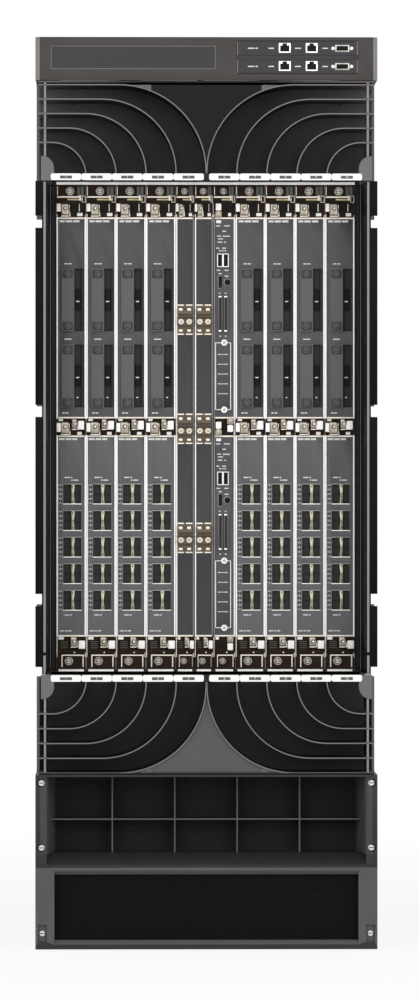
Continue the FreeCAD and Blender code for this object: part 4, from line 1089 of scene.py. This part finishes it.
def upper_card(left):
    """Line card with two blank optic plates, knobs at their ends and open wells beside them."""
    low, high = UPPER_FACE
    card = bare_card("line_card_upper_1", "upper_card", UPPER_GREY, low, high)
    paint_wells(card, (left + 25, left + 37), (low + 10, high - 20))
    paint(card, OPTIC, lambda x, y, z, normal: y < FACE - 0.1 and low < z < high)
    pieces = [card, *top_lever(left, WIDE_WIDTH)]
    for level in (22.5, 97.5, 131.8, 206.0):
        pieces += optic_knob(left + 16.4, low + level)
    for foot in (low + 16, low + 124.5):
        pieces += fitted(left, foot, (
            ("well_guide", (27.5, 34.5), (0.4, 3.6), (30, 60), BLACK),
            ("well_side", (36.5, 39.8), (-0.4, 0.2), (0, WELL_HEIGHT), WELL, 0.1),
        ))
        pieces += fitted(left, foot, (
            ("well_rim", (25.4, 36.6), (-0.5, 0.4), (0, WELL_HEIGHT), 0.7, WELL, 0.15),
            ("plate_rim", (7.4, 25.5), (-4.3, 0.2), (-0.3, WELL_HEIGHT + 0.3), 0.8, TAB_GREY, 0.2),
        ), rim)
        pieces += words(left + 28.2, foot + 41.5, (4.6,), 1.6, 1.0, FACE + 0.3)
    pieces += printed(left, high, [(4.7, -6.9, (7.0, 9.5, 9.0), 3.0, 1.4)])
    pieces += printed(left, low, ((11.5, 219.8, (4.6, 5.0), 1.6, 1.0), (11.5, 112.2, (10.0,), 1.6),
                                  (29, 29, (2.5,), 1.6), (8.5, 6.8, (3.8, 3.6), 1.8)))
    pieces += fitted(left, low, (
        lever_ground((21.9, 39.4), (-24.0, -0.2), 1.0),
        name_tag((29.8, 36.4), (-23.6, -19.2)),
        cream_line((3, 39.4), (-0.2, 2.0)),
    ))
    pieces += ring_block((left + 21.9, left + 31.4), (low - 16.6, low - 0.8), low - 8.2)
    pieces.append(white_tab((left + 31.0, left + 39.6), (low - 16.2, low - 3.6), -1))
    return joined("upper_card_model", pieces)


def port_block(left, high):
    """Four optic ports in one tin cage, split by a pinched shield spring, beside eight small lamps."""
    low = high - PORT_CAGE
    middle = (low + high) / 2
    pinch = left + 23.5
    pieces = fitted(left, low, (
        ("cage_lip", (9.0, 36.2), (-1.3, 0.5), (PORT_CAGE - 0.2, PORT_CAGE + 1.2), LATTICE),
        ("cage_lip", (9.0, 36.2), (-1.3, 0.5), (-1.2, 0.2), FRAME_WHITE),
        ("cage_side", (9.2, 10.1), (-0.8, 0.5), (0, PORT_CAGE), TAB_GREY, 0.2),
        ("cage_side", (35.2, 36.1), (-0.8, 0.5), (0, PORT_CAGE), TAB_GREY, 0.2),
        ("cage_divider", (10, 35.4), (1.4, 3.6), about(PORT_CAGE / 2, 0.7), WELL, 0.2),
        ("lamp_plate", (3.0, 8.9), (-0.4, 0.2), (0, PORT_CAGE), LATTICE, 0.2),
        ("shield_spring", (20.7, 26.3), (-0.9, 2.5), (0.2, PORT_CAGE - 0.2), SPRING, 0.1),
    ))
    edit_all(pieces[-1])
    bpy.ops.mesh.bisect(plane_co=(0, 0, middle * MM), plane_no=(0, 0, 1))
    bpy.ops.transform.resize(value=(0.5, 1, 1), center_override=(pinch * MM, 0, 0))
    mode("OBJECT")
    for level in (-10.4, -3.0, 0.0, 10.4):
        pieces.append(disc("spring_dimple", pinch, middle + level, 0.9, (FACE - 1.2, FACE - 0.7),
                           WELL, 8, 0.1))
    corners = [(3.6 + 2.7 * column, 1.6 + 6.6 * row) for row in range(4) for column in range(2)]
    pieces += fitted(left, low, [("lamp", (x, x + 2.0), (-0.7, 0), (z, z + 4.2), WELL, 0.15)
                                 for x, z in corners])
    return joined("port_block", pieces)


def lower_card(left):
    """Line card with five blocks of optic ports."""
    low, high = LOWER_FACE
    card = bare_card("line_card_lower_1", "lower_card", LOWER_GREY, low, high)
    paint_wells(card, (left + 9.5, left + 36), (low + 20, high - 60))
    first = port_block(left, high - 69.6)
    pieces = [card, first]
    pieces += [copied(first, (0, 0, -PORT_PITCH * step), "port_block") for step in range(1, PORT_BLOCKS)]
    pieces += printed(left, high, (
        (3.6, -6.4, (8.5, 8.0, 7.5), 2.8, 1.2), (11.5, -60.6, (7.5, 2.2), 1.7, 1.4),
        (21.0, -64.4, (2.0, 7.5), 1.7, 1.0), (11.5, -256.8, (7.0, 2.5), 1.6), (5, -279.5, (6, 3, 5), 1.6)))
    pieces += bottom_lever(left, WIDE_WIDTH)
    pieces += fitted(left, high, (
        lever_ground((2.9, 20.8), (0.2, 24.0), 1.0),
        name_tag((3.0, 9.4), (20.6, 23.8)),
        cream_line((3, 39.4), (-2.0, 0.2)),
    ))
    pieces += ring_block((left + 5.8, left + 20.4), (high + 0.6, high + 19.4), high + 12.4)
    pieces.append(white_tab((left + 0.25, left + 6.2), (high + 5.0, high + 18.0), 1))
    return joined("lower_card_model", pieces)


def line_cards():
    """Upper and lower cards of the eight wide columns, each modelled once."""
    left = spans("carrier_1")[0][0]
    for tier, make in (("upper", upper_card), ("lower", lower_card)):
        names = [f"line_card_{tier}_{number}" for number in WIDE_COLUMNS]
        repeated(make(left), "line_face", names, column_shifts())


def seam_fittings(left, width, seam, turn):
    """Latch group at a seam: over it a ground plate with two studs, under it two knobs and two studs."""
    at = shares(left, width)
    if turn > 0:
        ground, line, studs = (0.3, 19.4), (17.2, 19.2), (9.4, 13.8)
    else:
        ground, line, studs = (-24.2, -0.3), (-24.0, -22.0), (-20.2, -16.2)
    pieces = fitted(0, seam, (
        ("latch_ground", (left + 2.4, left + width - 2.4), (-0.7, 0.4), ground, GROUND, 0.2),
        cream_line((at(0.10), at(0.44)), line),
        cream_line((at(0.54), at(0.90)), line),
        *[("pale_stud", (at(share), at(share + 0.22)), (-8.2, 0), studs, LATCH, 0.7, 2)
          for share in (0.15, 0.60)],
    ))
    if turn < 0:
        for share in (0.28, 0.72):
            pieces += plain_knob(at(share), seam - 5.4, 4.7, FACE - 10.2, FACE - 6.8, LATCH)
    return pieces


def fabric_cards():
    """Two columns of four blank modules with a latch group at each seam."""
    left = spans("fabric_card_1")[0][0]
    near, far = spans("fabric_card_2")[0]
    width = far - near
    seams = (583.5, CAGE_MIDDLE, 895.0)
    for tier in range(4):
        node = f"fabric_card_{tier + 1}"
        foot, top = spans(node)[2]
        card = bare_card(node, "fabric_card", FABRIC_GREY, LOWER_FACE[0], UPPER_FACE[1])
        paint(card, GROUND, lambda x, y, z, normal: y < FACE - 0.2)
        rail = (foot + 0.1, top - 0.1)
        pieces = [card, *side_rails(left, width, rail, rail, (CARRIER, BAR_GREY_AND_HIGHLIGHT))]
        if tier > 0:
            pieces += seam_fittings(left, width, seams[tier - 1], 1)
        if tier < 3:
            pieces += seam_fittings(left, width, seams[tier] - 0.3, -1)
        if tier == 3:
            pieces += top_lever(left, width) + top_head(left, width)
        if tier == 0:
            pieces += bottom_lever(left, width) + bottom_head(left, width)
        names = [f"fabric_card_{column * 4 + tier + 1}" for column in range(2)]
        repeated(joined("fabric_model", pieces), "fabric_face", names, (0, FABRIC_PITCH))


# Print on a control card: places across and under the face's top, and lengths
CONTROL_PRINT = (
    (3.4, -12.6, 6.4), (15.4, -12.6, 8.0), (12.6, -20.2, 5.6), (5.4, -27.2, 5.6), (13.4, -27.4, 10.0),
    (6.8, -31.2, 7.0), (6.2, -35.8, 6.8), (15.4, -36.0, 2.8), (4.0, -44.4, 4.6), (12.6, -44.4, 5.4),
    (8.2, -48.0, 2.6), (12.0, -48.0, 2.6), (15.8, -48.0, 2.6), (4.8, -76.0, 4.8), (15.8, -76.0, 5.6),
    (7.6, -80.8, 4.2), (16.2, -84.4, 5.4), (7.8, -108.8, 2.4), (16.2, -108.8, 2.4), (8.6, -170.0, 2.4),
    (16.6, -170.0, 2.4),
)


def control_face(left, high):
    """What stands on a control card's face: print, jacks, slots, two tall connectors and a framed door."""
    rows = [
        ("label_block", (4.0, 11), (-0.4, 0.2), (-8.0, -3.8), LABEL, 0.1),
        ("jack_plate", (3.0, 27.2), (-0.5, 0.3), (-72.5, -48.4), UPPER_GREY, 0.2),
        ("card_slot_mouth", (7.6, 12.0), (-0.9, 0.3), (-100.2, -83.6), BLACK, 0.05),
        ("door_panel", (4.6, 23.2), (-0.6, 0.2), (-272.8, -180.2), UPPER_GREY, 0.4),
    ]
    rims = [
        ("card_slot", (6.4, 12.0), (-0.8, 0.3), (-101.2, -82.9), 0.9, LATTICE, 0.2),
        ("door_frame", (2.4, 25.4), (-1.9, 0), (-275, -178), 1.6, CARRIER, 0.6),
    ]
    for x in (5.4, 13.8):
        rims.append(("jack_shield", (x, x + 8.2), (-1.6, 0), (-70.8, -51.4), 1.3, FRAME_WHITE, 0.3))
        rows.append(("jack_mouth", (x + 1.2, x + 7), (-0.8, 0), (-69.6, -52.6), BLACK, 0.1))
    for x in (7.5, 15.5):
        rims.append(("connector_shell", (x - 0.3, x + 5.3), (-4.4, 0), (-163.3, -111.7), 0.7, BAR_GREY_AND_HIGHLIGHT, 0.2))
        rows.append(("connector_insert", (x + 0.5, x + 4.5), (-4.2, 0), (-162, -113), WELL))
        for z in (-114.4, -163.2):
            rows.append(("connector_cap", (x - 0.3, x + 4.2), (-4.9, 0), (z, z + 2.6), FRAME_WHITE, 0.7, 2))
    pieces = fitted(left, high, rows) + fitted(left, high, rims, rim)
    pieces += [
        disc("clock_jack", left + 19.8, high - 92.2, 5.2, (FACE - 0.9, FACE + 0.3), LATTICE, 20, 0.3),
        disc("clock_jack_mouth", left + 20.1, high - 92.4, 4.4, (FACE - 1.2, FACE), BLACK, 20, 0.1),
        disc("reset_hole", left + 11.0, high - 19.4, 1.0, (FACE - 0.3, FACE + 0.1), BLACK, 12, 0.05),
    ]
    for drop in (178.6, 274.4):
        pieces += plain_knob(left + 15.5, high - drop, 4.6, FACE - 5.0, FACE - 1.4, WHITE_TAB)
    pieces += printed(left, high, [(x, z, (length,)) for x, z, length in CONTROL_PRINT])
    pieces += printed(left, high, [(6.5, -196 - 14 * step, (4, 3, 5), 1.2, 1.0, FACE - 0.6)
                                   for step in range(5)])
    return pieces


def control_levers(card):
    """Hinged levers of a control card, each with a white tab at its tip."""
    for end in ("high", "low"):
        node = f"{card}_{end}_lever"
        x, _, (foot, top) = spans(node)
        z = (top - 9.6, top + 0.2) if end == "high" else (foot - 0.2, foot + 9.6)
        lever = eased_copy(node, "control_lever", NICKEL, 0.4, 2)
        tab = block("control_tab", about(sum(x) / 2, 4.0), (FACE - 10.6, FACE - 4.2), z, WHITE_TAB, 1.0, 3)
        carried(joined(node + "_dressed", [lever, tab]), node, "lever_nickel", node)


def control_cards():
    """Two control cards with their heads, rails and hinged levers."""
    left = spans("control_card_upper")[0][0]
    width = CONTROL_WIDTH
    inner = (2.3, width - 2.3)
    for tier, (low, high) in (("upper", UPPER_FACE), ("lower", LOWER_FACE)):
        name = f"control_card_{tier}"
        card = eased_copy(name, "control_card", UPPER_GREY, 0.35, 1)
        paint(card, BOARD, lambda x, y, z, normal: y > BOARD_FRONT)
        paint(card, NICKEL, lambda x, y, z, normal: y < LEVER_PLANE and not low < z < high)
        at_foot = [cream_line(inner, (-0.2, 2.0))]
        at_top = [cream_line(inner, (-2.0, 0.2))]
        if tier == "upper":
            near, far = (low + 0.2, CAGE_ROOF - 0.1), (low - 24.2, CAGE_ROOF - 0.1)
            head = top_head(left, width)
            at_top += [lever_ground(inner, (0.2, 21.2), 1.4), shadow_window((17, 23), (6.4, 20.4), BLACK),
                       name_tag((21, 25.4), (1.8, 6.5))]
            at_foot.append(lever_ground((16, inner[1]), (-24, -0.2), 1.0))
        else:
            near, far = (CAGE_FLOOR + 0.1, high + 24.2), (CAGE_FLOOR + 0.1, high - 0.2)
            head = bottom_head(left, width)
            at_foot += [lever_ground(inner, (-21.2, -0.2), 1.4), shadow_window((4, 14), (-18, -5.4), BLACK),
                        name_tag((3, 8), (-4.6, -0.6))]
            at_top.append(lever_ground((inner[0], 15.2), (0.2, 24), 1.0))
        pieces = [card, *control_face(left, high), *head]
        pieces += fitted(left, low, at_foot) + fitted(left, high, at_top)
        pieces += side_rails(left, width, near, far, (BAR_GREY_AND_HIGHLIGHT, CARRIER))
        carried(joined(name + "_dressed", pieces), name, "line_face", name)
        control_levers(name)


def screw_row(name, points, turn):
    """Pan-head screws with cross slots on a side or the rear; each point is where a head's back sits."""
    model = joined("pan_head", [
        disc("pan_head", 0, 0, 4.2, (-1.8, 0.4), DARK_SCREW, 20, 0.8),
        block("cross_slot", about(0, 2.4), (-1.85, -1.4), about(0, 0.45), BLACK, 0.1),
        block("cross_slot", about(0, 0.45), (-1.85, -1.4), about(0, 2.4), BLACK, 0.1),
    ])
    heads = []
    for point in points:
        head = twin(model, name)
        head.rotation_euler = (0, 0, turn)
        head.location = [value * MM for value in point]
        settle(head)
        heads.append(head)
    removed(model)
    return joined(name, heads)


def cage_shelves():
    """Shelves over and under the cards, with painted shade on their front faces, bright lips along their
    fronts, and dark liners at the sides.
    """
    lip = (RAIL_FRONT - 0.8, RAIL_FRONT + 0.4)
    sheets = eased_copy("inner_shelves", "shelf_sheets", ZINC, 0.3, 1)
    # Painted shade: the front faces of the shelf sheets take the dark shadow brown.
    paint(sheets, SHADE_BROWN, lambda x, y, z, normal: normal.y < -0.9 and y < FACE)
    pieces = [sheets, block("upper_lip", about(0, 213), lip, (1084.9, 1089.0), CARRIER, 0.4, 2)]
    for side in (-1, 1):
        pieces.append(block("side_liner", beside(side, 213.6, 219.8), (FLANGE, FLANGE + 1.5),
                            (CAGE_FLOOR + 1, CAGE_ROOF - 1), INLET, 0.2))
    columns = [f"carrier_{number}" for number in WIDE_COLUMNS]
    for node in [*columns, "fabric_card_1", "fabric_card_5", "control_card_lower"]:
        near, far = spans(node)[0]
        pieces.append(block("lower_lip", (near + 3, far - 3), lip, (390.4, 393.4), CARRIER, 0.4, 2))
    carried(joined("inner_shelves_dressed", pieces), "root", "zinc_sheet", "inner_shelves")


def chassis_shell():
    """Sheet-metal body: sides, top, base and rear cover with their screws."""
    for side, name in ((-1, "left_side_panel"), (1, "right_side_panel")):
        panel = eased_copy(name, name + "_sheet", CHASSIS, 0.4)
        paint(panel, LOWER_GREY, lambda x, y, z, normal: normal.y < -0.9 and y < FLANGE + 0.5)
        points = [(side * 222.2, y, z) for y in (-300, 0, 300, 405) for z in (30, 440, 850, 1258)]
        screws = screw_row(name + "_screws", points, side * math.pi / 2)
        carried(joined(name + "_dressed", [panel, screws]), "root", "chassis_paint", name)
    for name in ("top_cover", "base_pan"):
        carried(eased_copy(name, name + "_dressed", CHASSIS, 0.4), "root", "chassis_paint", name)
    places = [(x, z) for x in (-205, 0, 205) for z in (312, 670, 1028)]
    cover = eased_copy("rear_panel", "rear_cover", CHASSIS, 0)
    bored(cover, [disc("screw_bore", x, z, 5.2, (REAR - 6, REAR + 2), WELL, 24, 0.1) for x, z in places])
    ease(cover, 0.4)
    screws = screw_row("rear_screws", [(x, REAR - 2.0, z) for x, z in places], math.pi)
    carried(joined("rear_panel_dressed", [cover, screws]), "root", "chassis_paint", "rear_panel")
    dressed("midplane", BOARD)


# Rear faces of the power modules and fan trays, and the pitches of the modules
MODULE_BACK = REAR - 30
MODULE_PITCH = (109, 147)
FIRST_MODULE = 75
VENT_PITCH = 5.2


def power_modules():
    """Rear modules: each with a mains inlet, a row of vent slots, a lamp and its pull tab."""
    back = MODULE_BACK
    pieces = [eased_copy("power_modules", "power_cases", POWER, 0.6)]
    for x, z in [(MODULE_PITCH[0] * (column - 1.5), FIRST_MODULE + MODULE_PITCH[1] * row)
                 for row in range(2) for column in range(4)]:
        vents = [-47 + VENT_PITCH * slot for slot in range(9)]
        pieces += built((x, back, z), (
            ("mains_inlet", (16, 46), (-1, 2.5), (-58, -34), BLACK, 1.5, 3),
            *[("mains_pin", (pin, pin + 2), (2, 5), (-49, -43), NICKEL) for pin in (22, 30, 38)],
            *[("vent_slot", (left, left + 2.6), (-0.5, 0.25), (-60, 62), BLACK, 0.1) for left in vents],
        ))
        pieces.append(disc("module_lamp", x + 42, z + 58, 2.4, (back - 0.2, back + 1.4), FRAME_WHITE, 16))
    carried(joined("power_modules_dressed", pieces), "root", "power_case", "power_modules")


def fan_trays():
    """Fan trays with wire guards over their windows, and rotors behind them."""
    back = MODULE_BACK
    for side in ("left", "right"):
        tray = f"fan_tray_{side}"
        x, _, z = [sum(limits) / 2 for limits in spans(tray)]
        pieces = [eased_copy(tray, "fan_case", POWER, 0.5)]
        for radius in (34, 50, 66, 82, 96):
            deselect()
            bpy.ops.mesh.primitive_torus_add(
                major_radius=radius * MM, minor_radius=1.3 * MM, major_segments=56, minor_segments=8,
                rotation=(math.pi / 2, 0, 0), location=(x * MM, (back + 1.2) * MM, z * MM))
            ring = bpy.context.object
            settle(ring)
            coat(ring, NICKEL)
            pieces.append(ring)
        for place in [(x + across * 96, z + up * 112) for across in (-1, 1) for up in (-1, 1)]:
            pieces.append(disc("tray_screw", *place, 5, (back, back + 6), CHROME, 18, 0.8))
        carried(joined(tray + "_dressed", pieces), tray, "power_case", tray)
        rotor = f"fan_rotor_{side}"
        carried(eased_copy(rotor, rotor + "_dressed", FAN, 0.8), rotor, "fan_plastic", rotor)


def seen_rays(tree):
    """1 for the rays that show a surface itself, not the light it gives: camera, glossy, transmission."""
    rays = add(tree, "ShaderNodeLightPath", {}, {})
    seen = rays.outputs["Is Camera Ray"]
    for kind in ("Is Glossy Ray", "Is Transmission Ray"):
        either = add(tree, "ShaderNodeMath", {"operation": "MAXIMUM"}, {0: seen, 1: rays.outputs[kind]})
        seen = either.outputs["Value"]
    return seen


def floor_paper():
    """White paper that keeps the shadow near the object and fades into the surround away from it."""
    material, tree, shader, place = blank("floor_white_paper")
    fibre = add(tree, "ShaderNodeTexNoise", {"Scale": 40.0, "Detail": 2.0}, {"Vector": place})
    tone = add(tree, "ShaderNodeMix", {"data_type": "RGBA", 6: linear("#fbfbfb"), 7: linear("#ffffff")},
               {0: fibre.outputs["Fac"]})
    tree.links.new(tone.outputs[2], shader.inputs["Base Color"])
    shader.inputs["Roughness"].default_value = 0.9
    shader.inputs["Specular IOR Level"].default_value = 0.0
    away = add(tree, "ShaderNodeVectorMath", {"operation": "LENGTH"}, {0: place})
    share = add(tree, "ShaderNodeMapRange", {"From Min": 0.7, "From Max": 2.2, "To Min": 0.88, "To Max": 1.0},
                {"Value": away.outputs["Value"]})
    share = add(tree, "ShaderNodeMath", {"operation": "MULTIPLY"},
                {0: share.outputs["Result"], 1: seen_rays(tree)})
    white = add(tree, "ShaderNodeEmission", {"Color": linear("#ffffff"), "Strength": 1.0}, {})
    both = add(tree, "ShaderNodeMixShader", {}, {0: share.outputs["Value"], 1: shader.outputs["BSDF"],
                                                2: white.outputs["Emission"]})
    tree.links.new(both.outputs["Shader"], tree.nodes["Material Output"].inputs["Surface"])
    return material


# Lamps: name, place and size in metres, power in watts; all aim at one point on the front.
LAMPS = (
    ("key_lamp", (-1.5, -4.2, 2.1), 2.4, 48.0),
    ("fill_lamp", (1.7, -4.2, 1.7), 2.4, 44.0),
    ("left_lamp", (-2.6, -1.6, 1.0), 1.4, 9.0),
    ("right_lamp", (2.6, -1.6, 1.0), 1.4, 9.0),
)
LAMP_AIM = (0, -0.2, 0.7)
CAMERA_PLACE = (-0.1, -7.735, 0.645)
CAMERA_TURN = (math.pi / 2, 0, -math.atan2(0.1, 7.3))
CAMERA_LENS = 186.38


def stage():
    """White floor, white surround, soft lamps and the camera of the photograph."""
    deselect()
    bpy.ops.mesh.primitive_plane_add(size=60)
    floor = bpy.context.object
    floor.name = "studio_floor"
    coat(floor, floor_paper())

    world = bpy.data.worlds.new("studio_white")
    bpy.context.scene.world = world
    world.use_nodes = True
    tree = world.node_tree
    backdrop = tree.nodes["Background"]
    level = add(tree, "ShaderNodeMapRange", {"To Min": 0.55, "To Max": 1.0}, {"Value": seen_rays(tree)})
    backdrop.inputs["Color"].default_value = linear("#ffffff")
    tree.links.new(level.outputs["Result"], backdrop.inputs["Strength"])

    for name, place, size, power in LAMPS:
        bpy.ops.object.light_add(type="AREA", location=place)
        lamp = bpy.context.object
        lamp.name = name
        lamp.data.size = size
        lamp.data.energy = power
        x, y, z = [target - start for target, start in zip(LAMP_AIM, place)]
        lamp.rotation_euler = (math.atan2(math.hypot(x, y), -z), 0, math.atan2(y, x) - math.pi / 2)

    bpy.ops.object.camera_add(location=CAMERA_PLACE, rotation=CAMERA_TURN)
    camera = bpy.context.object
    camera.data.sensor_fit = "VERTICAL"
    camera.data.sensor_height = 36
    camera.data.lens = CAMERA_LENS
    camera.data.shift_x = 0.003
    camera.data.shift_y = -0.007
    bpy.context.scene.camera = camera
    bpy.context.scene.view_settings.view_transform = "Standard"


cable_guides()
slot_labels()
cable_brackets()
header()
management_ports()
air_inlet()
filter_tray()
carriers()
line_cards()
fabric_cards()
control_cards()
cage_shelves()
chassis_shell()
power_modules()
fan_trays()
stage()
